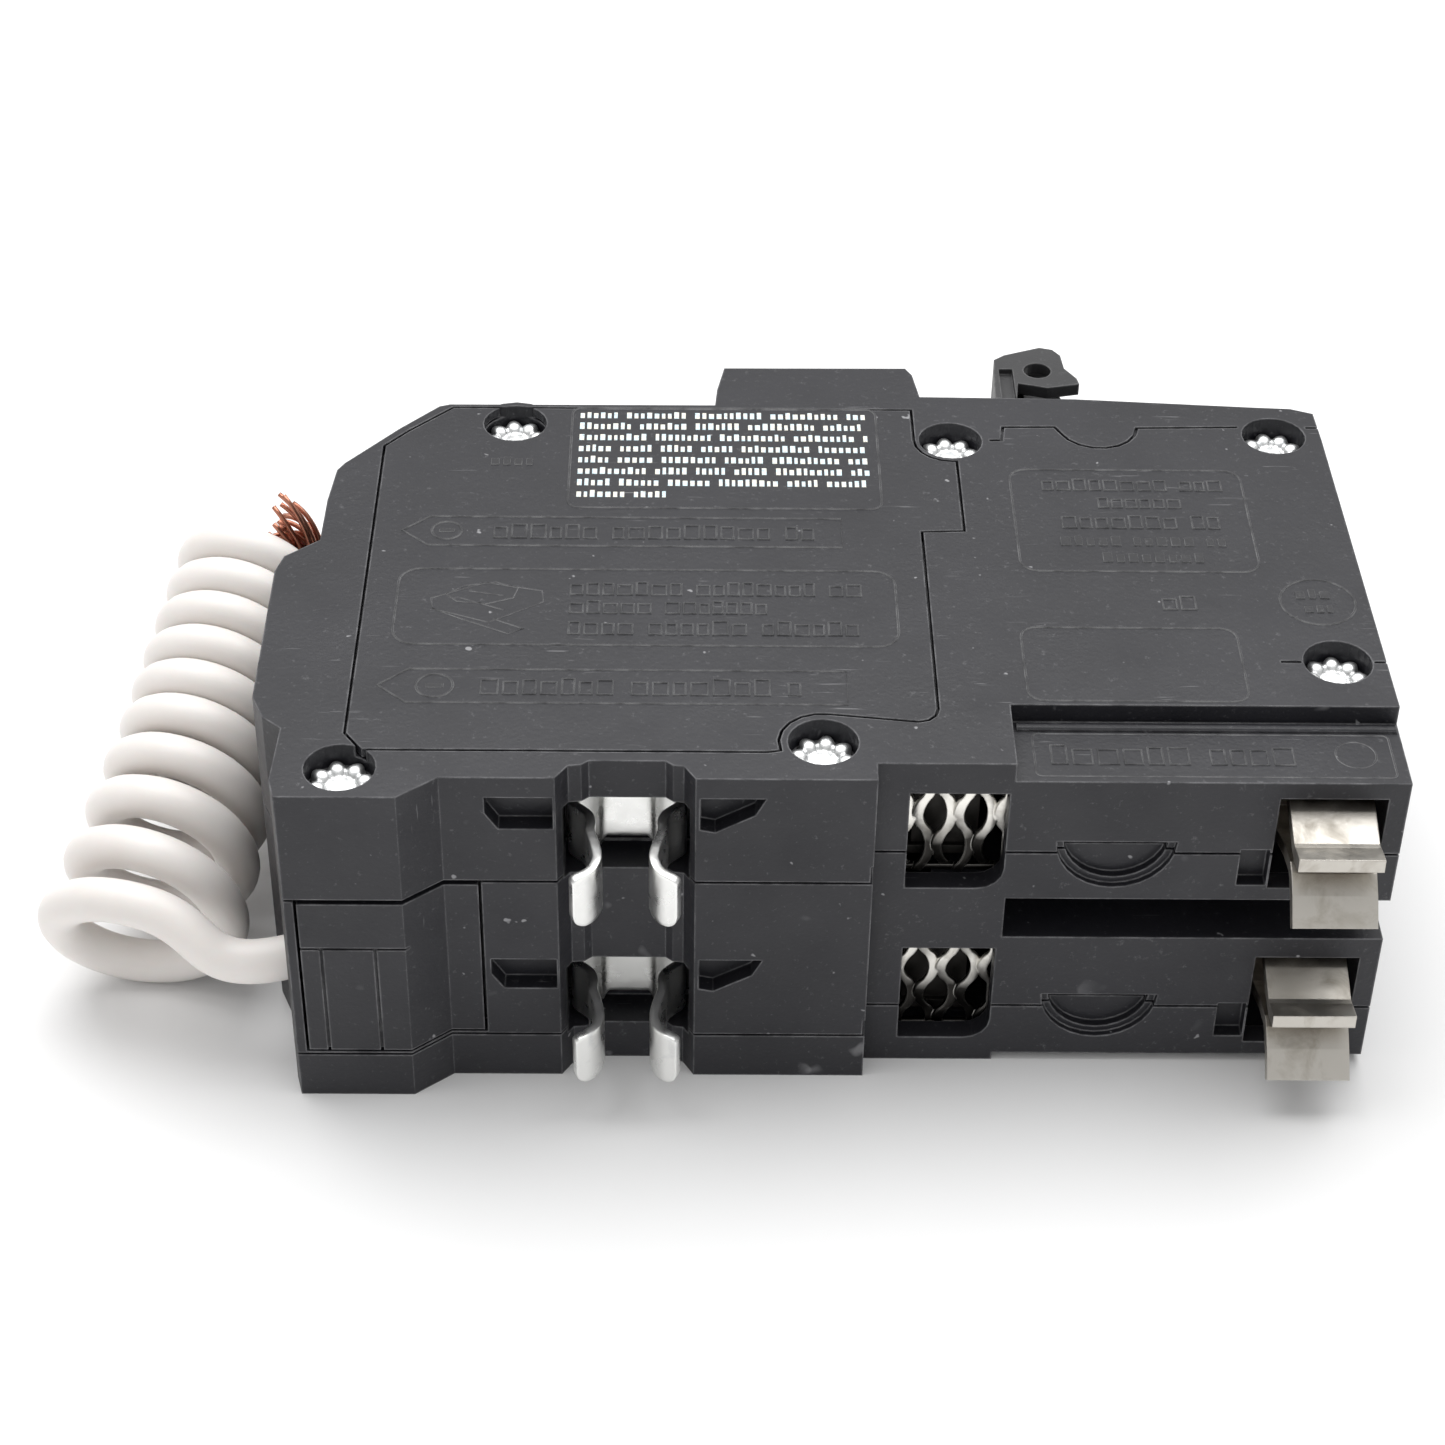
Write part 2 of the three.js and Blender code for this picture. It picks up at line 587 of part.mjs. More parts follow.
function tripLever({ z, low, high }) {
  const path = [[93, 46], [84, 43.8], [72, 43.4], [66, 42.4], [61.2, 41.0]];
  const arm = prismZ(strip(path, 3.2), z + 2, z + 4);
  const eye = rodZ(TRIP_LEVER_PIVOT, 3.0, z + 2, z + 4, 20);
  return join(arm, eye, axle(TRIP_LEVER_PIVOT, TRIP_LEVER_AXLE_R, low, high));
}

function armature(z) {
  const plate = box([58.6, 59.8], [19.5, 50.3], [z - 4, z + 4]);
  const latchWindow = box([58, 61], [38.6, 43.4], [z + 1.4, z + 6]);
  return plate.subtract(latchWindow);
}

function magnetYoke(z) {
  return join(
    box([51.6, 53.0], [22, 34], [z - 4.6, z + 4.6]),
    box([52, 56.2], [22, 34], [z + 3.4, z + 4.6]),
    box([52, 56.2], [22, 34], [z - 4.6, z - 3.4]),
  );
}

function bimetalStrip(z) {
  return join(
    box([54.6, 55.6], [13.5, 45], [z - 2.5, z + 2.5]),
    box([54.6, 57.6], [12.2, 13.6], [z - 2.5, z + 2.5]),
  );
}

function addPole(pole, index) {
  const { tag, z, jaw } = pole;
  addPiece(`rail_clip_${tag}`, railClip(pole.clip), zinc());
  addPiece(`line_jaw_${tag}`, lineJaw(jaw), tinnedCopper());
  addPiece(`vent_screen_${tag}`, ventScreen(ARC_WINDOWS[index]), zinc());
  addPiece(`arc_chute_${tag}`, arcChute(z), steel());
  addPiece(`contact_arm_${tag}`, contactArm(pole), copper());
  addPiece(`trip_lever_${tag}`, tripLever(pole), steel());
  addPiece(`toggle_spring_${tag}`, spring([72.4, 42, z - 3.2], [71, 30, z - 3.2], 1.4, 0.35, 6), steel());
  addPiece(`armature_${tag}`, armature(z), steel());
  addPiece(`magnet_yoke_${tag}`, magnetYoke(z), steel());
  addPiece(`bimetal_${tag}`, bimetalStrip(z), silver());
}

// ---------------------------------------------------------------- handle

function poleHandle({ low, high }) {
  const [px, py] = HANDLE_PIVOT;
  const inset = 1.5;
  const outline = [
    ...arc([px, py], 4.6, 200, 380, 12),
    [82.4, 62], [80.0, 69.0], [78.3, 73.4], [77.3, 76.9], [74.0, 76.6], [74.4, 72.0], [76.4, 66.0],
    [78.2, 61],
  ];
  const bar = prismZ(outline, low + inset, high - inset);
  return join(bar, axle(HANDLE_PIVOT, HANDLE_AXLE_R, low, high));
}

// The tie that joins the two poles' handles: two side plates with a lock-off hole and a crown.
function handleTie() {
  const plate = [
    [70.6, 69.6], [73.0, 69.6], [73.3, 72.6], [76.5, 71.7], [80.0, 72.5], [79.8, 73.6],
    [78.6, 75.6], [78.4, 78.2], [77.6, 79.4], [76.2, 79.8], [72.2, 78.2], [71.0, 77.2],
  ];
  const crown = [
    [73.0, 69.6], [72.6, 77.0], [77.8, 78.1], [77.6, 79.4], [76.2, 79.8], [72.2, 78.2], [71.0, 77.2],
    [70.6, 69.6],
  ];
  return cut(
    join(
      prismZ(plate, 34.9, 36.3),
      prismZ(plate, 1.8, 3.0),
      prismZ(crown, 2.5, 35.5),
    ),
    rodZ([75.6, 75.1], 1.5, 0, WIDTH, 20),
    box([71.4, 72.9], [69, 75.4], [35.6, 37]),
  );
}

// ---------------------------------------------------------------- trip unit and electronics

function tripBar() {
  const [x, y] = TRIP_BAR_AXIS;
  const fingers = POLES.map(({ z }) => box([56.4, 57.9], [49.6, 56], [z - 1.5, z + 1.5]));
  return join(
    axle(TRIP_BAR_AXIS, TRIP_BAR_R, POLES[0].low, POLES[1].high),
    box([x - 1.4, x + 0.2], [48.4, y], [MIDDLE_Z - 2, MIDDLE_Z + 2]),
    ...fingers,
  );
}

function ringX([y, z], inner, outer, x0, x1) {
  return rodX([y, z], outer, x0, x1, 32).subtract(rodX([y, z], inner, x0 - 1, x1 + 1, 24));
}

function solenoidFrame() {
  const z = [MIDDLE_Z - 5.2, MIDDLE_Z + 5.2];
  return cut(
    join(
      box([32, 49], [43.5, 44.5], z),
      box([32, 33.2], [44, 56], z),
      box([47.8, 49], [44, 56], z),
    ),
    rodX(SOLENOID, 2.4, 31, 50),
  );
}

function testButton() {
  const { x0, x1, z0, z1, top } = BUTTON;
  return join(
    box([x0, x1], [69.0, top], [z0, z1]),
    box([x0 - 1.4, x1 + 1.4], [68.8, 70.1], [z0 - 1.4, z1 + 1.4]),
  );
}

// The switch under the test button, on a leg beside the solenoid.
function testSwitch() {
  return join(
    box([46.5, 53.8], [56.6, TEST_SWITCH_TOP], [15, 29]),
    box([45.6, 49.4], [43.4, TEST_SWITCH_TOP], [25.4, 29]),
  );
}

function addTripUnit() {
  addPiece('trip_bar', tripBar(), darkPlastic());
  addPiece('solenoid_frame', solenoidFrame(), steel());
  addPiece('solenoid_coil', ringX(SOLENOID, 2.5, 5.3, 33.5, 47.5), copper());
  addPiece('solenoid_plunger', rodX(SOLENOID, 2.0, 37, 54.1, 16), steel());
  addPiece('sensing_toroid', ringX([30, MIDDLE_Z], 5.2, 9.4, 26, 32), material(0x3b3f2e, 0.5));
  addPiece('grounded_neutral_toroid', ringX([30, MIDDLE_Z], 5.2, 9.4, 35, 41), material(0x3b3f2e, 0.5));
  addPiece('circuit_board', box([20.5, 49.5], [41.5, 43.1], [3.2, 33.8]), material(0x1f5a36, 0.6));
  addPiece('smoothing_capacitor', rodX([49.0, 8.0], 4.2, 34, 46, 20), material(0x22252c, 0.4));
  addPiece('control_chip', box([24, 30], [43.4, 46], [22, 32]), material(0x17171a, 0.5));
  addPiece('surge_varistor', rodX([48.4, 29.8], 4.9, 37.5, 41.5, 20), material(0x1c4f8c, 0.45));
  addPiece('test_button', testButton(), material(0xe8e2d2, 0.5));
  addPiece('test_switch', testSwitch(), darkPlastic());
  const springBase = [51.0, TEST_SWITCH_TOP + 0.7, MIDDLE_Z];
  addPiece('test_spring', spring(springBase, [51.0, 68.1, MIDDLE_Z], 2.2, 0.35, 5), steel());
}

// ---------------------------------------------------------------- load terminals and leads

// A box lug whose wire is clamped on a raised flat seat along the floor of its way.
function boxLug(z) {
  const wayHalfWidth = LUG_HALF_WIDTH - LUG_WALL;
  const floorY = LUG_Y[0] + LUG_FLOOR;
  const shell = cut(
    box(LUG_X, LUG_Y, [z - LUG_HALF_WIDTH, z + LUG_HALF_WIDTH]),
    box([LUG_X[0] - 1, LUG_X[1] + 1], [floorY, LUG_Y[1] - LUG_ROOF], [z - wayHalfWidth, z + wayHalfWidth]),
    rodY([LUG_SCREW_X, z], 2.7, 50, 54, 16),
  );
  const seatZ = [z - LUG_SEAT.halfWidth, z + LUG_SEAT.halfWidth];
  return join(shell, box(LUG_SEAT.x, [floorY - 0.5, floorY + LUG_SEAT.height], seatZ));
}

function lugScrew(z) {
  const head = rodY([LUG_SCREW_X, z], 3.2, 55.2, 57.4, 20);
  const shank = rodY([LUG_SCREW_X, z], 2.3, 49.4, 55.3, 16);
  const slot = box([LUG_SCREW_X - 4, LUG_SCREW_X + 4], [56.4, 58], [z - 0.4, z + 0.4]);
  return join(head, shank).subtract(slot);
}

const curveThrough = (points) => new THREE.CatmullRomCurve3(points.map(vector));

function addTerminals() {
  for (const { tag, z } of LUGS) {
    addPiece(`load_lug_${tag}`, boxLug(z), material(0xc9ccd0, 0.35, 0.9));
    addPiece(`lug_screw_${tag}`, lugScrew(z), steel());
  }
  POLES.forEach(({ tag, z, lug }) => {
    const towardsMiddle = Math.sign(MIDDLE_Z - z);
    const inWindow = MIDDLE_Z - towardsMiddle * 2.45;
    const route = [
      [53.7, 14.4, z], [50.5, 15.2, z + towardsMiddle], [46.5, 22, z + towardsMiddle * 5],
      [42.5, 27.6, inWindow], [33, 28.2, inWindow], [24.5, 28.2, inWindow],
      [20.4, 31, z + towardsMiddle * 5], [18.2, 37, z + towardsMiddle * 1.5],
      [17.4, 42, lug], [15.4, 45.4, lug],
    ];
    addPiece(`load_lead_${tag}`, tube(curveThrough(route), 1.3, 22, 6), insulation());
  });
  const neutralRoute = [
    [15.4, 46, MIDDLE_Z], [18.0, 41, MIDDLE_Z], [20.5, 35.5, MIDDLE_Z], [24.5, 32.4, MIDDLE_Z],
    [33, 32.2, MIDDLE_Z], [42.5, 32.2, MIDDLE_Z], [47.2, 29, MIDDLE_Z], [48.2, 22, MIDDLE_Z],
    [44, 16.2, MIDDLE_Z], [36, 15.2, MIDDLE_Z], [24, 15, MIDDLE_Z], [14.5, 14.4, MIDDLE_Z - 2],
  ];
  addPiece('neutral_lead', tube(curveThrough(neutralRoute), 1.3, 28, 6), insulation());
}

// ---------------------------------------------------------------- pigtail

// The coil's own directions: along its axis, level across it, and up across it.
function coilFrame() {
  const axis = new THREE.Vector3(
    Math.sin(COIL_TURN_IN) * Math.cos(COIL_RISE),
    Math.cos(COIL_TURN_IN) * Math.cos(COIL_RISE),
    Math.sin(COIL_RISE),
  );
  const level = axis.clone().cross(new THREE.Vector3(0, 0, 1)).normalize();
  const up = level.clone().cross(axis);
  return { axis, level, up };
}

// The coil's outer shape. Its first turn lies on the surface, and its radius falls towards its end.
function coilRing() {
  const inner = COIL_END_R - WIRE_D / 2;
  const start = -WIRE_D / 2;
  const outer = [[COIL_END_R + WIRE_D / 2, COIL_END], [8.7, 24], [9.5, 11], [10.1, 4.5], [8.5, start]];
  const profile = [[inner, start], [inner, COIL_END], ...outer, [inner, start]];
  const points = profile.map(([radius, height]) => new THREE.Vector2(radius, height));
  const turn = new THREE.Quaternion().setFromUnitVectors(new THREE.Vector3(0, 1, 0), coilFrame().axis);
  const geometry = new THREE.LatheGeometry(points.reverse(), 32).applyQuaternion(turn);
  return toSolid(geometry.translate(...COIL_START));
}

// Bare strands carry on round the coil past the end of the insulation.
function bareEnd() {
  const { axis, level, up } = coilFrame();
  const height = COIL_END + GAP + 1.6;
  const curve = new RouteCurve((t) => {
    const angle = THREE.MathUtils.degToRad(8 + 72 * t);
    return vector(COIL_START)
      .addScaledVector(axis, height)
      .addScaledVector(level, COIL_END_R * Math.cos(angle))
      .addScaledVector(up, COIL_END_R * Math.sin(angle));
  });
  return tube(curve, 1.5, 8, 10);
}

function addPigtail() {
  const [exitX, exitY, exitZ] = CORD_EXIT;
  const bush = rodX([exitY, exitZ], 3.0, -0.6, 2.4).subtract(rodX([exitY, exitZ], 1.9, 0.6, 3));
  addPiece('cord_bush', bush, darkPlastic());
  const lead = curveThrough([CORD_EXIT, [exitX - 2.2, exitY, exitZ], [-6.1, 5.3, 12.7]]);
  addPiece('pigtail_lead', tube(lead, WIRE_D / 2, 4, 12), insulation());
  addPiece('pigtail_coil', coilRing(), insulation());
  addPiece('pigtail_bare_end', bareEnd(), copper());
}

// ---------------------------------------------------------------- assembly

addCase();
addSideCover();
addLoadCover();
RIVETS.forEach((centre, i) => addPiece(`rivet_${i + 1}`, rivet(centre), zinc()));
POLES.forEach(addPole);
POLES.forEach((pole) => addPiece(`handle_${pole.tag}`, poleHandle(pole), blackPlastic()));
addPiece('handle_tie', handleTie(), blackPlastic());
addTripUnit();
addTerminals();
addPigtail();

export default breaker;
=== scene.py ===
"""Looks of a two-pole ground-fault circuit breaker with a coiled neutral pigtail.

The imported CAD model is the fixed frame. Sizes below are in millimetres from the back corner of
the load end, as in the CAD source, and at() turns them into metres in the row frame.
"""

import json
import math
import random

import bpy
from mathutils import Matrix, Vector


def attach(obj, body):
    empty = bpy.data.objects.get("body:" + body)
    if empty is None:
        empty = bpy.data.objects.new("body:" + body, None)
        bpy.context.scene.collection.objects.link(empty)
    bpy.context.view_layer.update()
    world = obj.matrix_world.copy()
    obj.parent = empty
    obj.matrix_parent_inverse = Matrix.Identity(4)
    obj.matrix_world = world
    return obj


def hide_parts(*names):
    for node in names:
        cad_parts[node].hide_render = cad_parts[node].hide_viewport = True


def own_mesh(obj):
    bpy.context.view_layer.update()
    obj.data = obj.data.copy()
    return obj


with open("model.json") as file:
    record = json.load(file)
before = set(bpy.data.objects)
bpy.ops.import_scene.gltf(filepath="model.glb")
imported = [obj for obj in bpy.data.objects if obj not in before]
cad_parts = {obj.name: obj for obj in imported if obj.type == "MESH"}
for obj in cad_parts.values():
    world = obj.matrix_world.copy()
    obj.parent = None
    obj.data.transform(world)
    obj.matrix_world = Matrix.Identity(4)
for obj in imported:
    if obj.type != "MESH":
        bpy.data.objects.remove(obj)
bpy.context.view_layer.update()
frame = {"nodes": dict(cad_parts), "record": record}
nodes = frame["nodes"]

MM = 0.001
ORIGIN = Vector((52.0, 35.0, 0.0))
TOP_Z = 38.1
LEDGE_Z = 36.0


def at(x, y, z):
    return (Vector((x, y, z)) - ORIGIN) * MM


# ------------------------------------------------------------------ camera


def make_camera():
    yaw, pitch, roll = (math.radians(a) for a in (0.80, 38.88, 0.87))
    forward = Vector(
        (math.sin(yaw) * math.cos(pitch), math.cos(yaw) * math.cos(pitch), -math.sin(pitch))
    )
    level = Vector((math.cos(yaw), -math.sin(yaw), 0.0))
    upward = level.cross(forward)
    right = math.cos(roll) * level + math.sin(roll) * upward
    up = math.cos(roll) * upward - math.sin(roll) * level
    data = bpy.data.cameras.new("camera")
    data.sensor_width = 36.0
    data.lens = 79.45
    data.clip_start, data.clip_end = 0.01, 20.0
    camera = bpy.data.objects.new("camera", data)
    matrix = Matrix((right, up, -forward)).transposed().to_4x4()
    matrix.translation = at(37.61, -220.76, 225.11)
    camera.matrix_world = matrix
    bpy.context.scene.collection.objects.link(camera)
    bpy.context.scene.camera = camera


make_camera()

# ------------------------------------------------------------------ shader helpers

# The colour of the painted shade on the lower part of each vent screen.
PAINTED_SHADE = (0.03, 0.028, 0.026)


class Shader:
    """A Principled material whose colour, roughness and bump come from procedural textures."""

    def __init__(self, name, **constants):
        self.material = bpy.data.materials.new(name)
        self.material.use_nodes = True
        self.tree = self.material.node_tree
        self.surface = self.tree.nodes["Principled BSDF"]
        for key, value in constants.items():
            self.surface.inputs[key.replace("_", " ")].default_value = value
        self.place = self.add("ShaderNodeTexCoord").outputs["Object"]

    def add(self, kind, inputs=None, **settings):
        node = self.tree.nodes.new(kind)
        for key, value in settings.items():
            setattr(node, key, value)
        for key, value in (inputs or {}).items():
            self.put(node.inputs[key], value)
        return node

    def put(self, socket, value):
        if isinstance(value, bpy.types.NodeSocket):
            self.tree.links.new(value, socket)
        else:
            socket.default_value = value

    def moved(self, rotation=(0, 0, 0), scale=(1, 1, 1)):
        inputs = {"Vector": self.place, "Rotation": rotation, "Scale": scale}
        return self.add("ShaderNodeMapping", inputs).outputs["Vector"]

    def noise(self, scale, detail=3.0, roughness=0.55, distortion=0.0, vector=None):
        inputs = {
            "Vector": vector or self.place,
            "Scale": scale,
            "Detail": detail,
            "Roughness": roughness,
            "Distortion": distortion,
        }
        return self.add("ShaderNodeTexNoise", inputs).outputs["Fac"]

    def span(self, value, low, high, to_low=0.0, to_high=1.0):
        inputs = {
            "Value": value,
            "From Min": low,
            "From Max": high,
            "To Min": to_low,
            "To Max": to_high,
        }
        return self.add("ShaderNodeMapRange", inputs).outputs["Result"]

    def math(self, operation, a, b=0.5):
        node = self.add("ShaderNodeMath", operation=operation)
        self.put(node.inputs[0], a)
        self.put(node.inputs[1], b)
        return node.outputs[0]

    def mix(self, factor, a, b):
        node = self.add("ShaderNodeMix", data_type="RGBA")
        self.put(node.inputs[0], factor)
        for socket, value in ((node.inputs[6], a), (node.inputs[7], b)):
            self.put(socket, (*value, 1.0) if isinstance(value, tuple) else value)
        return node.outputs[2]

    def edges(self, radius, low=0.015, high=0.16):
        """Where the surface bends sharply, and the normal that rounds that bend."""
        soft = self.add("ShaderNodeBevel", {"Radius": radius}, samples=6).outputs["Normal"]
        flat = self.add("ShaderNodeNewGeometry").outputs["True Normal"]
        match = self.add("ShaderNodeVectorMath", operation="DOT_PRODUCT")
        self.put(match.inputs[0], soft)
        self.put(match.inputs[1], flat)
        sharp = self.math("SUBTRACT", 1.0, match.outputs["Value"])
        return self.span(sharp, low, high), soft

    def slopes(self, low, high):
        """Where the surface leans away from level."""
        normal = self.add("ShaderNodeNewGeometry").outputs["True Normal"]
        up = self.add("ShaderNodeSeparateXYZ", {"Vector": normal}).outputs["Z"]
        return self.span(self.math("SUBTRACT", 1.0, up), low, high)

    def crevices(self, distance):
        """Where nearby surfaces close in."""
        settings = {"Distance": distance}
        open_part = self.add("ShaderNodeAmbientOcclusion", settings, samples=6).outputs["AO"]
        return self.span(self.math("SUBTRACT", 1.0, open_part), 0.25, 0.8)

    def scratches(self, angle, density=0.62):
        """Fine straight scratches in one direction, only in some places."""
        lines = self.noise(1.0, 2.0, vector=self.moved((0, 0, angle), (170, 3000, 170)))
        where = self.noise(110.0, 2.0)
        thin = self.span(lines, density + 0.08, density + 0.12)
        return self.math("MULTIPLY", thin, self.span(where, 0.52, 0.66))

    def bump(self, height, distance, strength=1.0, normal=None):
        inputs = {"Height": height, "Distance": distance, "Strength": strength}
        if normal is not None:
            inputs["Normal"] = normal
        return self.add("ShaderNodeBump", inputs).outputs["Normal"]

    def finish(self, color, roughness, normal):
        self.put(self.surface.inputs["Base Color"], color)
        self.put(self.surface.inputs["Roughness"], roughness)
        self.put(self.surface.inputs["Normal"], normal)
        return self.material


def moulded_plastic(name, dark, light, wear_and_highlight, grain=2300.0, rounding=0.00030, wear=1.0, raised=False):
    """Fine-grained plastic with dust, specks and scratches, pale with wear along its edges. Raised marks
    also get a painted highlight on their sloping sides.
    """
    s = Shader(name, IOR=1.5)
    body = s.mix(s.span(s.noise(45.0, 5.0, 0.6), 0.35, 0.65), dark, light)
    dust = s.math("MULTIPLY", s.span(s.noise(1400.0, 5.0, 0.75), 0.60, 0.74), 0.30)
    body = s.mix(dust, body, wear_and_highlight)
    specks = s.span(s.noise(520.0, 2.0, 0.6), 0.735, 0.765)
    sharp, soft = s.edges(rounding)
    # Painted highlight: the sloping sides of raised marks are painted pale, like the edge wear.
    if raised:
        sharp = s.math("MAXIMUM", sharp, s.math("MULTIPLY", s.slopes(0.02, 0.35), 0.8))
    chips_and_highlight = s.math("MULTIPLY", sharp, s.span(s.noise(420.0, 4.0, 0.65), 0.38, 0.60, 0.3, 1.0))
    chips_and_highlight = s.math("MULTIPLY", s.math("MAXIMUM", chips_and_highlight, specks), wear)
    marks = s.math("ADD", s.scratches(0.5), s.scratches(-0.9))
    marks = s.math("MULTIPLY", s.math("ADD", marks, s.scratches(1.45, 0.65)), 0.5)
    color = s.mix(s.math("MAXIMUM", chips_and_highlight, marks), body, wear_and_highlight)
    rough = s.span(s.noise(130.0, 4.0, 0.6), 0.3, 0.7, 0.42, 0.56)
    rough = s.math("ADD", rough, s.math("MULTIPLY", chips_and_highlight, 0.12))
    texture = s.math("ADD", s.noise(grain, 2.0, 0.5), s.math("MULTIPLY", s.noise(300.0), 0.8))
    normal = s.bump(texture, 0.00005, 0.7, soft)
    normal = s.bump(marks, 0.00003, 0.6, normal)
    return s.finish(color, rough, normal)


def plated_metal(
    name, bright, dull, roughness=(0.16, 0.34), brush=(30, 1500, 1500), patches=0.55, crevice_shade=None, shade_below=None
):
    """Brushed metal with dull patches, and where asked for, painted shade in its corners and painted shade
    below a height in mm.
    """
    s = Shader(name, Metallic=1.0)
    blotch = s.span(s.noise(240.0, 5.0, 0.62, 0.6), patches, patches + 0.18)
    sharp, soft = s.edges(0.00018, 0.02, 0.2)
    color = s.mix(blotch, bright, dull)
    if crevice_shade:
        # Painted shade, patchy, where nearby surfaces close in.
        corner_shade = s.math("MULTIPLY", s.crevices(0.006), s.span(s.noise(300.0, 4.0), 0.3, 0.6, 0.6, 1.0))
        color = s.mix(corner_shade, color, crevice_shade)
    # Painted shade: the colour darkens towards the bottom, below the given heights in mm.
    if shade_below:
        height = s.add("ShaderNodeSeparateXYZ", {"Vector": s.place}).outputs["Z"]
        uneven = s.math("ADD", height, s.span(s.noise(260.0), 0.3, 0.7, -0.0008, 0.0008))
        color = s.mix(s.span(uneven, shade_below[0] * MM, shade_below[1] * MM, 1.0, 0.0), color, PAINTED_SHADE)
    color = s.mix(s.math("MULTIPLY", sharp, 0.6), color, tuple(min(1.0, c * 1.15) for c in bright))
    lines = s.noise(1.0, 3.0, vector=s.moved((0, 0, 0), brush))
    rough = s.span(s.noise(500.0, 4.0), 0.3, 0.7, *roughness)
    rough = s.math("ADD", rough, s.math("MULTIPLY", blotch, 0.14))
    height = s.math("ADD", s.math("MULTIPLY", lines, 0.6), s.noise(1100.0, 3.0))
    return s.finish(color, rough, s.bump(height, 0.00003, 0.5, soft))


def insulation(name, tint, soil_and_shade):
    """Soft wire insulation, clouded and specked, with painted shade where turns lie together."""
    s = Shader(name, IOR=1.5, Subsurface_Weight=0.06, Subsurface_Scale=0.002)
    cloud = s.span(s.noise(90.0, 4.0, 0.6), 0.35, 0.7)
    color = s.mix(s.math("MULTIPLY", cloud, 0.35), tint, soil_and_shade)
    specks = s.span(s.noise(1500.0, 3.0, 0.7), 0.70, 0.78)
    color = s.mix(s.math("MULTIPLY", specks, 0.3), color, soil_and_shade)
    # Painted shade where nearby surfaces close in, between turns and near the case.
    color = s.mix(s.math("MULTIPLY", s.crevices(0.005), 0.45), color, tuple(0.66 * c for c in soil_and_shade))
    rough = s.span(s.noise(160.0, 4.0), 0.3, 0.7, 0.34, 0.50)
    height = s.math("ADD", s.noise(700.0, 3.0), s.math("MULTIPLY", s.noise(150.0), 1.6))
    return s.finish(color, rough, s.bump(height, 0.00006, 0.35))


def wound(name, wire, gap, pitch, direction, metallic=0.9):
    """Close turns of enamelled wire, with dark lines between them."""
    s = Shader(name, Metallic=metallic)
    inputs = {"Vector": s.place, "Scale": 1.0 / (pitch * MM * 20.0), "Distortion": 0.4, "Detail": 2.0}
    turns = s.add("ShaderNodeTexWave", inputs, bands_direction=direction).outputs["Fac"]
    mottle = s.math("MULTIPLY", s.noise(600.0), 0.35)
    color = s.mix(s.math("ADD", s.span(turns, 0.25, 0.75, 0.0, 0.7), mottle), gap, wire)
    rough = s.span(s.noise(400.0), 0.3, 0.7, 0.28, 0.45)
    return s.finish(color, rough, s.bump(turns, 0.00015, 0.8))


def circuit_laminate():
    s = Shader("board_laminate_look", IOR=1.5)
    inputs = {"Vector": s.place, "Scale": 420.0, "Randomness": 0.35}
    cells = s.add("ShaderNodeTexVoronoi", inputs, distance="MANHATTAN").outputs["Distance"]
    tracks = s.span(cells, 0.42, 0.46)
    pads = s.span(s.noise(800.0, 1.0), 0.66, 0.68)
    color = s.mix(tracks, (0.012, 0.10, 0.04), (0.02, 0.19, 0.08))
    color = s.mix(pads, color, (0.55, 0.56, 0.57))
    rough = s.span(s.noise(300.0), 0.3, 0.7, 0.25, 0.42)
    return s.finish(color, rough, s.bump(s.math("ADD", tracks, pads), 0.00006, 0.7))


def printed_ink():
    s = Shader("label_ink", IOR=1.45)
    thin = s.span(s.noise(2600.0, 4.0, 0.7), 0.55, 0.68)
    tinge = s.mix(s.span(s.noise(1900.0, 1.0), 0.45, 0.55), (0.86, 0.84, 0.74), (0.66, 0.82, 0.88))
    color = s.mix(s.math("MULTIPLY", thin, 0.6), tinge, (0.20, 0.20, 0.21))
    rough = s.span(s.noise(1200.0), 0.3, 0.7, 0.45, 0.62)
    return s.finish(color, rough, s.bump(s.noise(3000.0), 0.00002, 0.4))


BLACK = moulded_plastic(
    "case_look", (0.0095, 0.0095, 0.013), (0.016, 0.016, 0.0205), (0.26, 0.26, 0.27)
)
# The moulded marks: edge wear plus a painted highlight on their sloping sides.
BLACK_RAISED = moulded_plastic(
    "marking_look", (0.012, 0.012, 0.0145), (0.020, 0.020, 0.023), (0.25, 0.25, 0.255),
    rounding=0.00008, raised=True,
)
HANDLE_BLACK = moulded_plastic(
    "handle_look", (0.027, 0.027, 0.0285), (0.038, 0.038, 0.040), (0.22, 0.22, 0.225), grain=3200.0
)
INNER_BLACK = moulded_plastic(
    "inner_look", (0.009, 0.009, 0.010), (0.013, 0.013, 0.014), (0.05, 0.05, 0.052), wear=0.4
)
BUTTON = moulded_plastic(
    "button_look", (0.66, 0.61, 0.48), (0.74, 0.70, 0.58), (0.86, 0.84, 0.78), wear=0.5
)
ZINC = plated_metal("zinc_look", (0.88, 0.88, 0.86), (0.68, 0.69, 0.69), (0.24, 0.38), patches=0.56)
STAR = plated_metal(
    "rivet_look", (0.88, 0.89, 0.89), (0.66, 0.69, 0.71), (0.34, 0.46), brush=(900, 900, 900)
)
# The jaws get brown painted shade in their corners.
TIN = plated_metal(
    "tin_look", (0.56, 0.535, 0.49), (0.42, 0.39, 0.34), (0.34, 0.48),
    brush=(60, 1500, 1500), patches=0.50, crevice_shade=(0.13, 0.10, 0.07),
)
MESH_FINISH = ((0.86, 0.84, 0.79), (0.56, 0.53, 0.48), (0.28, 0.42), (700, 700, 90), 0.52)
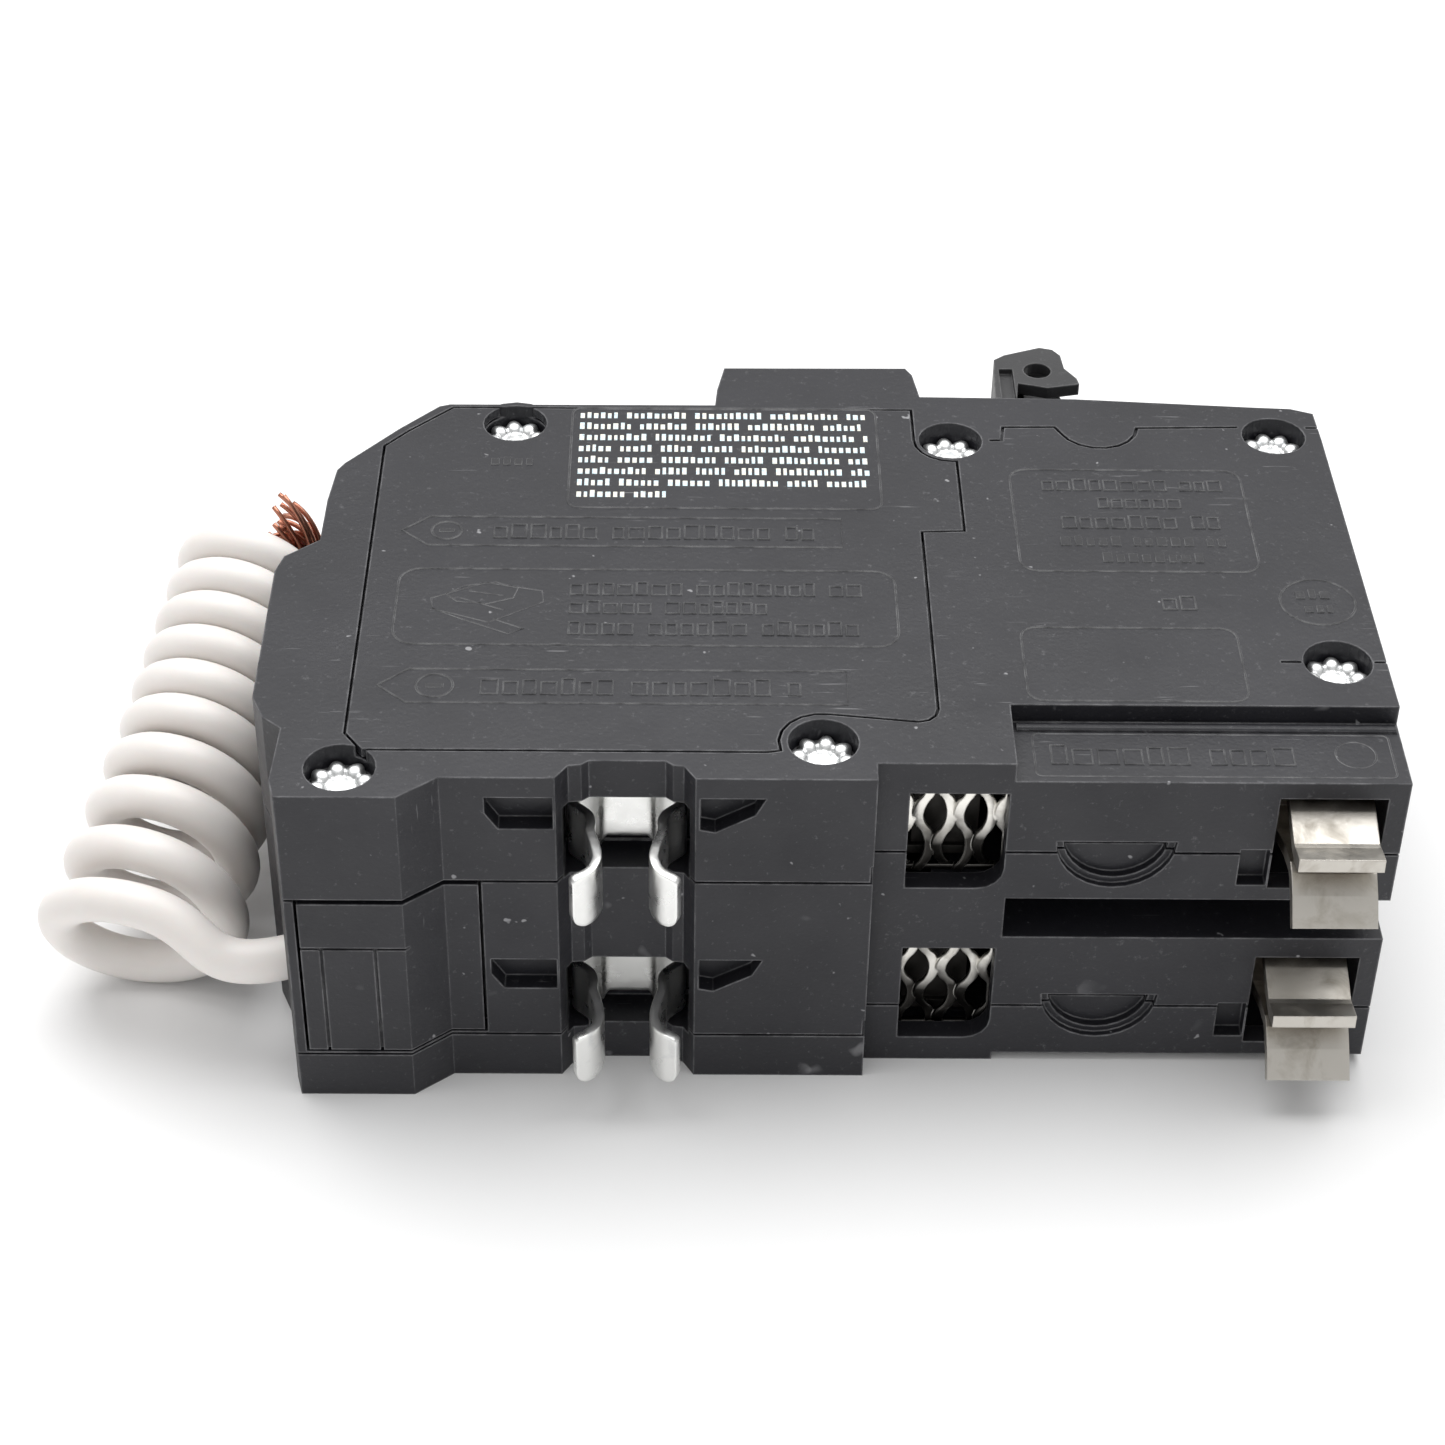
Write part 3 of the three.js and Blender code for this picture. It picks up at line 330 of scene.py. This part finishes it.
# Each vent screen gets painted shade on its lower part, below these heights in mm.
SCREEN_LOOKS = {
    "a": plated_metal("screen_a_look", *MESH_FINISH, shade_below=(7.2, 10.4)),
    "b": plated_metal("screen_b_look", *MESH_FINISH, shade_below=(26.2, 29.4)),
}
SOOTED = plated_metal("sooted_look", (0.05, 0.047, 0.044), (0.02, 0.019, 0.018), (0.5, 0.7))
STEEL = plated_metal("steel_look", (0.55, 0.56, 0.58), (0.30, 0.30, 0.31), (0.25, 0.42))
BIMETAL = plated_metal("bimetal_look", (0.62, 0.58, 0.52), (0.50, 0.42, 0.33), (0.25, 0.40))
LUG = plated_metal(
    "lug_look", (0.70, 0.71, 0.73), (0.50, 0.51, 0.53), (0.25, 0.42), brush=(40, 1200, 1200)
)
COPPER = plated_metal("copper_look", (0.52, 0.23, 0.155), (0.21, 0.09, 0.065), (0.30, 0.46), patches=0.50)
WHITE_PVC = insulation("pigtail_look", (0.85, 0.815, 0.785), (0.70, 0.65, 0.61))
LEAD_PVC = insulation("lead_look", (0.76, 0.73, 0.70), (0.56, 0.52, 0.48))
COIL = wound("solenoid_look", (0.62, 0.27, 0.14), (0.10, 0.03, 0.02), 0.4, "X")
TOROID = wound("toroid_look", (0.32, 0.16, 0.06), (0.03, 0.03, 0.02), 0.6, "Y", 0.5)
BOARD = circuit_laminate()
SLEEVE = moulded_plastic("sleeve_look", (0.012, 0.014, 0.022), (0.02, 0.022, 0.032), (0.1, 0.1, 0.12))
EPOXY = moulded_plastic("chip_look", (0.008, 0.008, 0.009), (0.014, 0.014, 0.015), (0.05, 0.05, 0.05))
DIPPED = moulded_plastic("varistor_look", (0.008, 0.06, 0.22), (0.012, 0.09, 0.30), (0.1, 0.2, 0.4))
INK = printed_ink()

SLOT_LOOKS = {
    "case_plastic": BLACK,
    "handle_plastic": HANDLE_BLACK,
    "button_plastic": BUTTON,
    "inner_plastic": INNER_BLACK,
    "zinc_plate": ZINC,
    "tinned_copper": TIN,
    "copper": COPPER,
    "steel": STEEL,
    "bimetal": BIMETAL,
    "lug_aluminium": LUG,
    "lead_insulation": LEAD_PVC,
    "pigtail_insulation": WHITE_PVC,
    "toroid_winding": TOROID,
    "board_laminate": BOARD,
    "capacitor_sleeve": SLEEVE,
    "chip_epoxy": EPOXY,
    "varistor_coat": DIPPED,
}


def dress_cad_nodes():
    special = {"solenoid_coil": COIL, "arc_chute_a": SOOTED, "arc_chute_b": SOOTED}
    for entry in frame["record"]["subparts"]:
        piece = nodes[entry["node"]]
        look = special.get(entry["node"], SLOT_LOOKS[entry["material_slot"]])
        for material_slot in piece.material_slots:
            material_slot.material = look


dress_cad_nodes()

# ------------------------------------------------------------------ mesh helpers


def add_piece(name, mesh, look, body="case", smooth=True):
    mesh.materials.append(look)
    if smooth:
        mesh.shade_smooth()
    piece = bpy.data.objects.new(name, mesh)
    bpy.context.scene.collection.objects.link(piece)
    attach(piece, body)
    return piece


def mesh_from(name, points, faces):
    mesh = bpy.data.meshes.new(name)
    mesh.from_pydata([tuple(p) for p in points], [], faces)
    mesh.update()
    return mesh


class Parts:
    """Points and faces of several solids that go into one mesh."""

    def __init__(self):
        self.points = []
        self.faces = []

    def add(self, points, faces):
        start = len(self.points)
        self.points.extend(points)
        self.faces.extend([tuple(start + i for i in face) for face in faces])

    def loft(self, rings, closed=False):
        """Rings of equally many points, joined one to the next, with flat ends."""
        n = len(rings[0])
        points = [p for ring in rings for p in ring]
        faces = []
        steps = len(rings) if closed else len(rings) - 1
        for i in range(steps):
            a, b = i * n, ((i + 1) % len(rings)) * n
            faces.extend((a + k, a + (k + 1) % n, b + (k + 1) % n, b + k) for k in range(n))
        if not closed:
            faces.append(tuple(reversed(range(n))))
            faces.append(tuple((len(rings) - 1) * n + k for k in range(n)))
        self.add(points, faces)

    def mesh(self, name):
        return mesh_from(name, self.points, self.faces)


def tube_rings(path, radius, sides, taper=lambda s: 1.0):
    """Circles along a path, turned as little as possible from one to the next."""
    rings = []
    across = None
    for i, p in enumerate(path):
        ahead = path[min(i + 1, len(path) - 1)] - path[max(i - 1, 0)]
        ahead.normalize()
        if across is None:
            across = ahead.orthogonal().normalized()
        across = (across - ahead * across.dot(ahead)).normalized()
        other = ahead.cross(across)
        r = radius * taper(i / (len(path) - 1))
        turns = (2 * math.pi * k / sides for k in range(sides))
        rings.append([p + r * (math.cos(t) * across + math.sin(t) * other) for t in turns])
    return rings


def smooth_path(points, steps):
    """A Catmull-Rom curve through points, with its ends included."""
    ps = [Vector(p) for p in points]
    ps = [2 * ps[0] - ps[1], *ps, 2 * ps[-1] - ps[-2]]
    path = []
    for i in range(1, len(ps) - 2):
        for k in range(steps):
            t = k / steps
            a, b, c, d = ps[i - 1], ps[i], ps[i + 1], ps[i + 2]
            path.append(
                0.5 * (2 * b + (c - a) * t + (2 * a - 5 * b + 4 * c - d) * t**2
                       + (3 * b - a - 3 * c + d) * t**3)
            )
    return [*path, ps[-2]]


# ------------------------------------------------------------------ pigtail

WIRE_D = 4.4
COIL_START = Vector((-16.77, 10.8, 8.86))
COIL_RISE = math.radians(16.44)
COIL_TURN_IN = math.radians(10.11)
COIL_AXIS = Vector(
    (
        math.sin(COIL_TURN_IN) * math.cos(COIL_RISE),
        math.cos(COIL_TURN_IN) * math.cos(COIL_RISE),
        math.sin(COIL_RISE),
    )
)
COIL_LEVEL = COIL_AXIS.cross(Vector((0, 0, 1))).normalized()
COIL_UP = COIL_LEVEL.cross(COIL_AXIS)
COIL_TURNS = 9.8
FIRST_PITCHES = (6.86, 6.45, 5.44, 5.20)
PITCH = 4.43
CORD_EXIT = Vector((-0.62, 5.6, 13.2))


def between(t, table):
    """Straight-line value at t in a table of (place, value)."""
    for (t0, v0), (t1, v1) in zip(table, table[1:]):
        if t <= t1:
            return v0 + (v1 - v0) * (t - t0) / (t1 - t0)
    return table[-1][1]


def eased(t, table):
    """The same, with its corners rounded over half a turn."""
    return sum(between(max(0.0, t + k * 0.05), table) for k in range(-5, 6)) / 11


def coil_point(turn, out=0.0, along=0.0):
    steps = [(0.0, 0.0)]
    for k in range(11):
        pitch = FIRST_PITCHES[k] if k < len(FIRST_PITCHES) else PITCH
        steps.append((k + 1.0, steps[-1][1] + pitch))
    height = eased(turn, steps) + along
    radius = eased(turn, [(0.0, 8.36), (1.5, 7.37), (4.0, 6.47), (9.0, 6.28), (12.0, 6.28)]) + out
    angle = math.radians(80.0 + 360.0 * turn)
    side = math.cos(angle) * COIL_LEVEL + math.sin(angle) * COIL_UP
    return COIL_START + height * COIL_AXIS + radius * side


def cord_route():
    start = coil_point(0.0)
    heading = (coil_point(0.02) - start).normalized()
    a, b = CORD_EXIT, CORD_EXIT + Vector((-9.8, -1.0, -2.2))
    c, d = start - heading * 8.0, start
    lead = []
    for i in range(24):
        t = i / 24
        u = 1 - t
        lead.append(u**3 * a + 3 * u * u * t * b + 3 * u * t * t * c + t**3 * d)
    per_turn = 44
    count = int(COIL_TURNS * per_turn)
    return lead + [coil_point(i / per_turn) for i in range(count + 1)]


def make_cord():
    route = cord_route()
    curve = bpy.data.curves.new("pigtail", "CURVE")
    curve.dimensions = "3D"
    curve.bevel_depth = WIRE_D / 2 * MM
    curve.bevel_resolution = 7
    curve.use_fill_caps = True
    line = curve.splines.new("POLY")
    line.points.add(len(route) - 1)
    for point, place in zip(line.points, route):
        point.co = (*at(*place), 1.0)
    line.use_smooth = True
    curve.materials.append(WHITE_PVC)
    piece = bpy.data.objects.new("pigtail", curve)
    bpy.context.scene.collection.objects.link(piece)
    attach(piece, "case")
    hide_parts("pigtail_lead", "pigtail_coil")
    return piece


def make_strands():
    """The bare strands, held together where the insulation ends and splayed at their tips."""
    rng = random.Random(7)
    parts = Parts()
    seats = [(0.0, 0.0)]
    seats += [(0.62, 60.0 * k) for k in range(6)]
    seats += [(1.22, 30.0 * k + 10) for k in range(12)]
    for seat, degrees in seats:
        length = rng.uniform(0.15, 0.205)
        lean = rng.uniform(-1.0, 1.0)
        lift = rng.uniform(-0.6, 1.2)
        path = []
        for i in range(15):
            s = i / 14
            turn = COIL_TURNS - 0.012 + length * s
            twist = math.radians(degrees + 130 * s)
            spread = 1.0 + 0.9 * s * s
            out = seat * spread * math.cos(twist) + lift * 1.5 * s**2
            along = seat * spread * math.sin(twist) + lean * 1.5 * s**2
            path.append(at(*coil_point(turn, out, along)))
        parts.loft(tube_rings(path, 0.31 * MM, 8, lambda s: 1.0 - 0.12 * s))
    strands = add_piece("pigtail_strands", parts.mesh("pigtail_strands"), COPPER)
    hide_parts("pigtail_bare_end")
    return strands


cord = make_cord()
strands = make_strands()

# ------------------------------------------------------------------ rivets

RIVETS = [(19.2, 61.3), (65.0, 58.6), (99.2, 59.9), (5.7, 4.25), (50.2, 8.4), (100.0, 21.0)]
PETALS = 8
STAR_Z = 35.78
KNOB_RING_R = 2.25
KNOB_R = 0.95
SHANK_R = 1.8
# The round head below and the shank, as (radius, height), up to the star.
RIVET_PROFILE = [
    (1.4, 0.9), (2.3, 0.95), (2.75, 1.2), (2.9, 1.7), (2.85, 2.2), (SHANK_R, 2.3),
    (SHANK_R, 35.2), (1.9, 35.54),
]


def rivet_height(radius, angle, spin):
    """The star-set end: a flat middle ringed by rounded knobs."""
    pitch = 2 * math.pi / PETALS
    off = (angle - spin + pitch / 2) % pitch - pitch / 2
    away = math.hypot(radius * math.cos(off) - KNOB_RING_R, radius * math.sin(off))
    knob = math.sqrt(max(0.0, KNOB_R**2 - away**2))
    middle = 0.25 * math.exp(-((radius / 1.35) ** 8))
    return STAR_Z + middle + 0.85 * knob


def make_rivet(index, centre):
    rng = random.Random(index)
    spin = rng.uniform(0, 1)
    around = 96
    radii = [0.35, 0.9] + [1.1 + 0.1 * k for k in range(20)]
    parts = Parts()
    loops = []
    for radius, z in RIVET_PROFILE:
        turn = [2 * math.pi * k / around for k in range(around)]
        loops.append(
            [at(centre[0] + radius * math.cos(a), centre[1] + radius * math.sin(a), z) for a in turn]
        )
    for radius in reversed(radii):
        loop = []
        for k in range(around):
            a = 2 * math.pi * k / around
            lobe = 1.0 + 0.05 * math.cos(PETALS * (a - spin)) * (radius / 2.8) ** 3
            r = radius * lobe
            z = rivet_height(radius, a, spin)
            loop.append(at(centre[0] + r * math.cos(a), centre[1] + r * math.sin(a), z))
        loops.append(loop)
    parts.loft(loops)
    piece = add_piece(f"star_rivet_{index}", parts.mesh(f"star_rivet_{index}"), STAR)
    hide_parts(f"rivet_{index}")


for number, place in enumerate(RIVETS, start=1):
    make_rivet(number, place)

# ------------------------------------------------------------------ rail clips

CLIP_MIDDLE_X = 31.95
CLIP_Z = {"a": 8.25, "b": 28.5}
CLIP_HALF_WIDTH = 3.1
CLIP_THICKNESS = 0.9
TIP_CORNER_R = 1.5
WEB_CUT = 1.35
WEB_EDGE_X = 29.85
# One leg from its tip up to the middle of the web, seen along the case's width.
LEG = [
    (27.0, -3.42), (27.55, -3.12), (28.26, -2.7), (28.84, -2.05), (29.16, -1.3), (29.34, -0.2),
    (29.08, 1.43), (28.60, 3.3), (28.64, 4.6), (28.35, 5.6), (27.7, 6.35), (26.95, 7.05),
    (26.78, 7.85), (27.3, 8.5), (28.3, 8.75), (29.3, 8.72), (29.75, 8.6), (30.2, 8.55), (30.9, 8.55),
]


def make_clip(tag):
    half = smooth_path([(x, y, 0.0) for x, y in LEG], 5)
    other = [Vector((2 * CLIP_MIDDLE_X - p.x, p.y, 0.0)) for p in reversed(half)]
    path = half + other
    lengths = [0.0]
    for p, q in zip(path, path[1:]):
        lengths.append(lengths[-1] + (q - p).length)
    middle = CLIP_Z[tag]
    across = 12
    points, faces = [], []
    for p, gone in zip(path, lengths):
        from_tip = min(gone, lengths[-1] - gone)
        short = max(0.0, TIP_CORNER_R - from_tip)
        pull = TIP_CORNER_R - math.sqrt(max(0.0, TIP_CORNER_R**2 - short**2))
        # the web between the legs is shorter than they are, with rounded lower corners
        inside = WEB_EDGE_X - min(p.x, 2 * CLIP_MIDDLE_X - p.x) if p.y > 7 else 1.0
        web = WEB_CUT * min(1.0, max(0.0, 0.5 - inside / 0.5)) ** 0.5
        low = middle - CLIP_HALF_WIDTH + pull + web
        high = middle + CLIP_HALF_WIDTH - pull * 0.35
        for k in range(across + 1):
            points.append(at(p.x, p.y, low + (high - low) * k / across))
    for i in range(len(path) - 1):
        for k in range(across):
            a = i * (across + 1) + k
            faces.append((a, a + 1, a + across + 2, a + across + 1))
    piece = add_piece(f"clip_{tag}", mesh_from(f"clip_{tag}", points, faces), ZINC)
    sheet = piece.modifiers.new("thickness", "SOLIDIFY")
    sheet.thickness = CLIP_THICKNESS * MM
    sheet.offset = 0.0
    rounded = piece.modifiers.new("edges", "BEVEL")
    rounded.width = 0.14 * MM
    rounded.segments = 2
    rounded.limit_method = "ANGLE"
    rounded.angle_limit = math.radians(50)
    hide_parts(f"rail_clip_{tag}")


for pole in CLIP_Z:
    make_clip(pole)

# ------------------------------------------------------------------ vent screens

SCREENS = {
    "a": {"x": (57.6, 68.4), "z": (2.1, 15.0), "join": (62.28, 9.85), "pitch": 4.1, "wave": 7.0},
    "b": {"x": (57.4, 68.6), "z": (22.8, 34.1), "join": (62.94, 29.7), "pitch": 3.86, "wave": 8.0},
}


SCREEN_Y = 8.3
STRAND_HALF_WIDTH = 0.54


def make_screen(tag):
    """Expanded metal: wavy strands that meet their neighbours in turn on either side."""
    screen = SCREENS[tag]
    (x0, x1), (z0, z1) = screen["x"], screen["z"]
    half = screen["pitch"] / 2
    swing = (half - 0.6) / 2
    w = STRAND_HALF_WIDTH
    parts = Parts()
    for strand in range(-4, 5):
        middle = screen["join"][0] + half * (strand - 0.5)
        if not x0 + 0.6 < middle < x1 - 0.6:
            continue
        sections = []
        for i in range(61):
            z = z0 + (z1 - z0) * i / 60
            angle = 2 * math.pi * (z - screen["join"][1]) / screen["wave"] + math.pi * (strand % 2)
            shape = math.copysign(abs(math.cos(angle)) ** 0.75, math.cos(angle))
            x = min(max(middle + swing * shape, x0 + w), x1 - w)
            y = SCREEN_Y + 0.2 * math.sin(angle)
            lean = 0.25 * shape
            corners = [(-w, -0.4), (w, -0.4 + lean), (w, 0.35 + lean), (-w, 0.35)]
            sections.append([at(x + dx, y + dy * 0.8, z) for dx, dy in corners])
        parts.loft(sections)
    for z in (z0 + 0.3, z1 - 0.3):
        low, high = SCREEN_Y - 0.35, SCREEN_Y + 0.35
        ends = [(z - 0.3, low), (z + 0.3, low), (z + 0.3, high), (z - 0.3, high)]
        parts.loft([[at(x, y, zz) for zz, y in ends] for x in (x0, x1)])
    piece = add_piece(f"screen_{tag}", parts.mesh(f"screen_{tag}"), SCREEN_LOOKS[tag])
    rounded = piece.modifiers.new("edges", "BEVEL")
    rounded.width = 0.14 * MM
    rounded.segments = 2
    rounded.limit_method = "ANGLE"
    rounded.angle_limit = math.radians(40)
    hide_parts(f"vent_screen_{tag}")


for pole in SCREENS:
    make_screen(pole)

# ------------------------------------------------------------------ test button's spring

SPRING = {"x": 51.0, "z": 19.05, "y": (60.9, 68.1), "radius": 2.2, "wire": 0.35, "turns": 5}


def make_test_spring():
    """The test button's coil spring, built at one length."""
    low, high = SPRING["y"]
    steps = SPRING["turns"] * 28
    path = []
    for i in range(steps + 1):
        angle = 2 * math.pi * SPRING["turns"] * i / steps
        across = SPRING["radius"] * math.cos(angle)
        up = SPRING["radius"] * math.sin(angle)
        path.append(at(SPRING["x"] + across, low + (high - low) * i / steps, SPRING["z"] + up))
    parts = Parts()
    parts.loft(tube_rings(path, SPRING["wire"] * MM, 10))
    piece = add_piece("button_spring", parts.mesh("button_spring"), STEEL)
    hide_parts("test_spring")
    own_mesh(piece)


make_test_spring()

# ------------------------------------------------------------------ moulded marks


def rounded_rect(x0, x1, y0, y1, radius, steps=5):
    corners = [
        (x1 - radius, y1 - radius, 0), (x0 + radius, y1 - radius, 90),
        (x0 + radius, y0 + radius, 180), (x1 - radius, y0 + radius, 270),
    ]
    outline = []
    for cx, cy, start in corners:
        for i in range(steps + 1):
            a = math.radians(start + 90 * i / steps)
            outline.append((cx + radius * math.cos(a), cy + radius * math.sin(a)))
    return outline


def circle(cx, cy, radius, steps=36):
    turns = (2 * math.pi * i / steps for i in range(steps))
    return [(cx + radius * math.cos(a), cy + radius * math.sin(a)) for a in turns]


def rib(parts, outline, z, width=0.32, height=0.12, closed=True):
    """A low bead with sloping sides along an outline on a flat face."""
    n = len(outline)
    rings = []
    for i, p in enumerate(outline):
        here = Vector(p)
        before = Vector(outline[(i - 1) % n]) if closed or i > 0 else here
        after = Vector(outline[(i + 1) % n]) if closed or i < n - 1 else here
        heading = (after - before).normalized()
        side = Vector((-heading.y, heading.x))
        section = [(-width / 2, -0.05), (-width / 5, height), (width / 5, height), (width / 2, -0.05)]
        rings.append([at(*(here + side * off), z + up) for off, up in section])
    parts.loft(rings, closed=closed)


def block(parts, x0, x1, y0, y1, z, height, slope=0.06):
    """One low raised mark with sloping sides."""
    low = [(x0, y0), (x1, y0), (x1, y1), (x0, y1)]
    s = slope
    high = [(x0 + s, y0 + s), (x1 - s, y0 + s), (x1 - s, y1 - s), (x0 + s, y1 - s)]
    rings = [[at(x, y, z - 0.05) for x, y in low], [at(x, y, z + height) for x, y in high]]
    parts.loft(rings)


def greeked_line(parts, rng, x0, x1, y, tall, z, height, wide=0.62, gap=0.22, word=6, hollow=False):
    """A run of plain marks, in groups, where the real face has a line of moulded or printed text."""
    x = x0
    left = rng.randint(max(2, word - 3), word + 2)
    while x < x1 - 0.2:
        width = tall * rng.uniform(0.75, 1.15) * wide
        if x + width > x1:
            break
        rise = tall * rng.choice((0.78, 0.78, 1.0, 0.9))
        if hollow:
            bar = min(0.3, width / 3)
            mark = [(x, y), (x + width, y), (x + width, y + rise), (x, y + rise)]
            rib(parts, mark, z, bar, height)
        else:
            block(parts, x, x + width, y, y + rise, z, height, min(0.06, width / 6))
        x += width + gap * tall
        left -= 1
        if left == 0:
            x += 0.55 * tall
            left = rng.randint(max(2, word - 3), word + 2)


def arrow_frame(tip_x, end_x, y0, y1):
    middle = (y0 + y1) / 2
    neck = tip_x + (y1 - y0) * 0.55
    return [(end_x, y1), (neck, y1), (tip_x, middle), (neck, y0), (end_x, y0)]


MARK_HEIGHT = 0.13
SIDE_FRAMES = [
    rounded_rect(70.7, 94.6, 35.5, 53.3, 1.8),
    rounded_rect(25.2, 57.3, 45.9, 64.3, 1.2),
    rounded_rect(9.0, 58.0, 22.9, 35.2, 2.2),
    rounded_rect(69.8, 90.8, 14.75, 26.2, 1.6),
    arrow_frame(8.7, 53.0, 39.2, 44.15),
    arrow_frame(8.2, 52.7, 13.9, 19.0),
    circle(99.5, 30.6, 3.7),
    circle(13.6, 16.45, 1.75),
    circle(13.2, 41.7, 1.5),
]
# Each line's start and end in x, its foot in y and its height.
SIDE_LINES = [
    (18.0, 49.8, 15.2, 2.35), (18.0, 50.2, 40.5, 2.25), (26.0, 55.5, 31.0, 2.0),
    (26.0, 46.0, 28.0, 1.9), (26.0, 55.0, 24.6, 2.1), (74.0, 92.5, 49.6, 1.9),
    (79.5, 88.0, 46.5, 1.8), (75.5, 92.0, 42.9, 2.1), (75.0, 92.0, 39.8, 1.6),
    (79.0, 89.5, 37.0, 1.6), (84.2, 88.4, 29.2, 2.1), (97.4, 101.6, 31.1, 1.5),
    (98.0, 101.0, 28.8, 1.3), (17.0, 22.2, 53.4, 1.5),
]
# The sketch of a box lug beside the wiring note.
LUG_SKETCH = [
    [(12.4, 30.3), (17.6, 32.9), (23.2, 31.6), (23.4, 29.8), (18.2, 26.4), (12.6, 28.6), (12.4, 30.3)],
    [(12.6, 28.6), (15.6, 26.9), (20.2, 24.6), (21.6, 25.4), (18.6, 27.0)],
    [(15.2, 30.4), (19.6, 28.4)],
    [(13.8, 31.0), (15.6, 32.4), (18.6, 33.0), (20.8, 32.0), (20.4, 30.4), (17.8, 29.4),
     (14.9, 29.8), (13.8, 31.0)],
    [(16.0, 31.5), (19.4, 30.8)],
]


def make_moulded_marks():
    rng = random.Random(11)
    parts = Parts()
    for outline in SIDE_FRAMES:
        rib(parts, outline, TOP_Z)
    for x0, x1, y, tall in SIDE_LINES:
        greeked_line(parts, rng, x0, x1, y, tall, TOP_Z, MARK_HEIGHT, word=7, hollow=tall > 1.7)
    block(parts, 12.7, 14.5, 16.1, 16.8, TOP_Z, 0.055)
    block(parts, 12.4, 14.0, 41.4, 42.0, TOP_Z, 0.055)
    for outline in LUG_SKETCH:
        rib(parts, outline, TOP_Z, 0.26, 0.06, closed=False)
    add_piece("moulded_marks", parts.mesh("moulded_marks"), BLACK_RAISED, smooth=False)


def make_ledge_marks():
    rng = random.Random(5)
    parts = Parts()
    rib(parts, rounded_rect(70.0, 103.6, 6.2, 12.4, 0.6), LEDGE_Z, 0.3, 0.06)
    rib(parts, circle(100.2, 9.5, 1.9), LEDGE_Z, 0.3, 0.06)
    greeked_line(parts, rng, 71.6, 96.0, 7.9, 2.7, LEDGE_Z, MARK_HEIGHT, word=5, hollow=True)
    add_piece("ledge_marks", parts.mesh("ledge_marks"), BLACK_RAISED, smooth=False)
    foot = Parts()
    ring = [(0.55, 0.0), (0.5, 0.25), (0.3, 0.42), (0.0, 0.48), (-0.3, 0.42), (-0.5, 0.25), (-0.55, 0.0)]
    rows = [[at(x, 13.2 + dy, LEDGE_Z - 0.02 + dz) for dy, dz in ring] for x in (68.6, 69.0, 104.3, 104.6)]
    foot.loft(rows)
    add_piece("ledge_bead", foot.mesh("ledge_bead"), BLACK, smooth=False)


PRINT = {"lines": 8, "start": 26.0, "end": 56.4, "last_end": 36.0, "top": 62.3, "pitch": 2.08, "tall": 1.3}


def make_print():
    """The printed block: eight short lines of illegible white marks, the last one short."""
    rng = random.Random(3)
    parts = Parts()
    for line in range(PRINT["lines"]):
        last = line == PRINT["lines"] - 1
        end = PRINT["last_end"] if last else PRINT["end"]
        y = PRINT["top"] - line * PRINT["pitch"]
        greeked_line(parts, rng, PRINT["start"], end, y, PRINT["tall"], TOP_Z, 0.03, 0.42, 0.15, word=8)
    add_piece("printed_block", parts.mesh("printed_block"), INK, smooth=False)


make_moulded_marks()
make_ledge_marks()
make_print()

# ------------------------------------------------------------------ floor and light


def make_floor():
    s = Shader("floor_look", IOR=1.4)
    color = s.mix(s.noise(8.0, 4.0), (0.90, 0.90, 0.90), (0.93, 0.93, 0.93))
    rough = s.span(s.noise(30.0), 0.3, 0.7, 0.8, 0.95)
    look = s.finish(color, rough, s.bump(s.noise(600.0), 0.00002, 0.2))
    size = 6.0
    corners = [(-size, -size, 0), (size, -size, 0), (size, size, 0), (-size, size, 0)]
    mesh = mesh_from("floor", corners, [(0, 1, 2, 3)])
    mesh.materials.append(look)
    floor = bpy.data.objects.new("floor", mesh)
    bpy.context.scene.collection.objects.link(floor)


def make_light(name, place, target, size, energy, color=(1.0, 1.0, 1.0)):
    data = bpy.data.lights.new(name, "AREA")
    data.shape = "RECTANGLE"
    data.size, data.size_y = size
    data.energy = energy
    data.color = color
    lamp = bpy.data.objects.new(name, data)
    lamp.location = place
    lamp.rotation_euler = (Vector(target) - Vector(place)).to_track_quat("-Z", "Y").to_euler()
    bpy.context.scene.collection.objects.link(lamp)


def make_world():
    world = bpy.data.worlds.new("studio")
    bpy.context.scene.world = world
    world.use_nodes = True
    back = world.node_tree.nodes["Background"]
    back.inputs["Color"].default_value = (1.0, 1.0, 1.0, 1.0)
    back.inputs["Strength"].default_value = 0.60


make_floor()
make_world()
make_light("key", (-0.02, 0.24, 0.75), (0.0, 0.0, 0.0), (1.0, 0.75), 7.6)
make_light("fill", (0.45, -0.60, 0.30), (0.0, 0.0, 0.02), (0.35, 0.5), 0.25)
bpy.context.scene.view_settings.view_transform = "Standard"
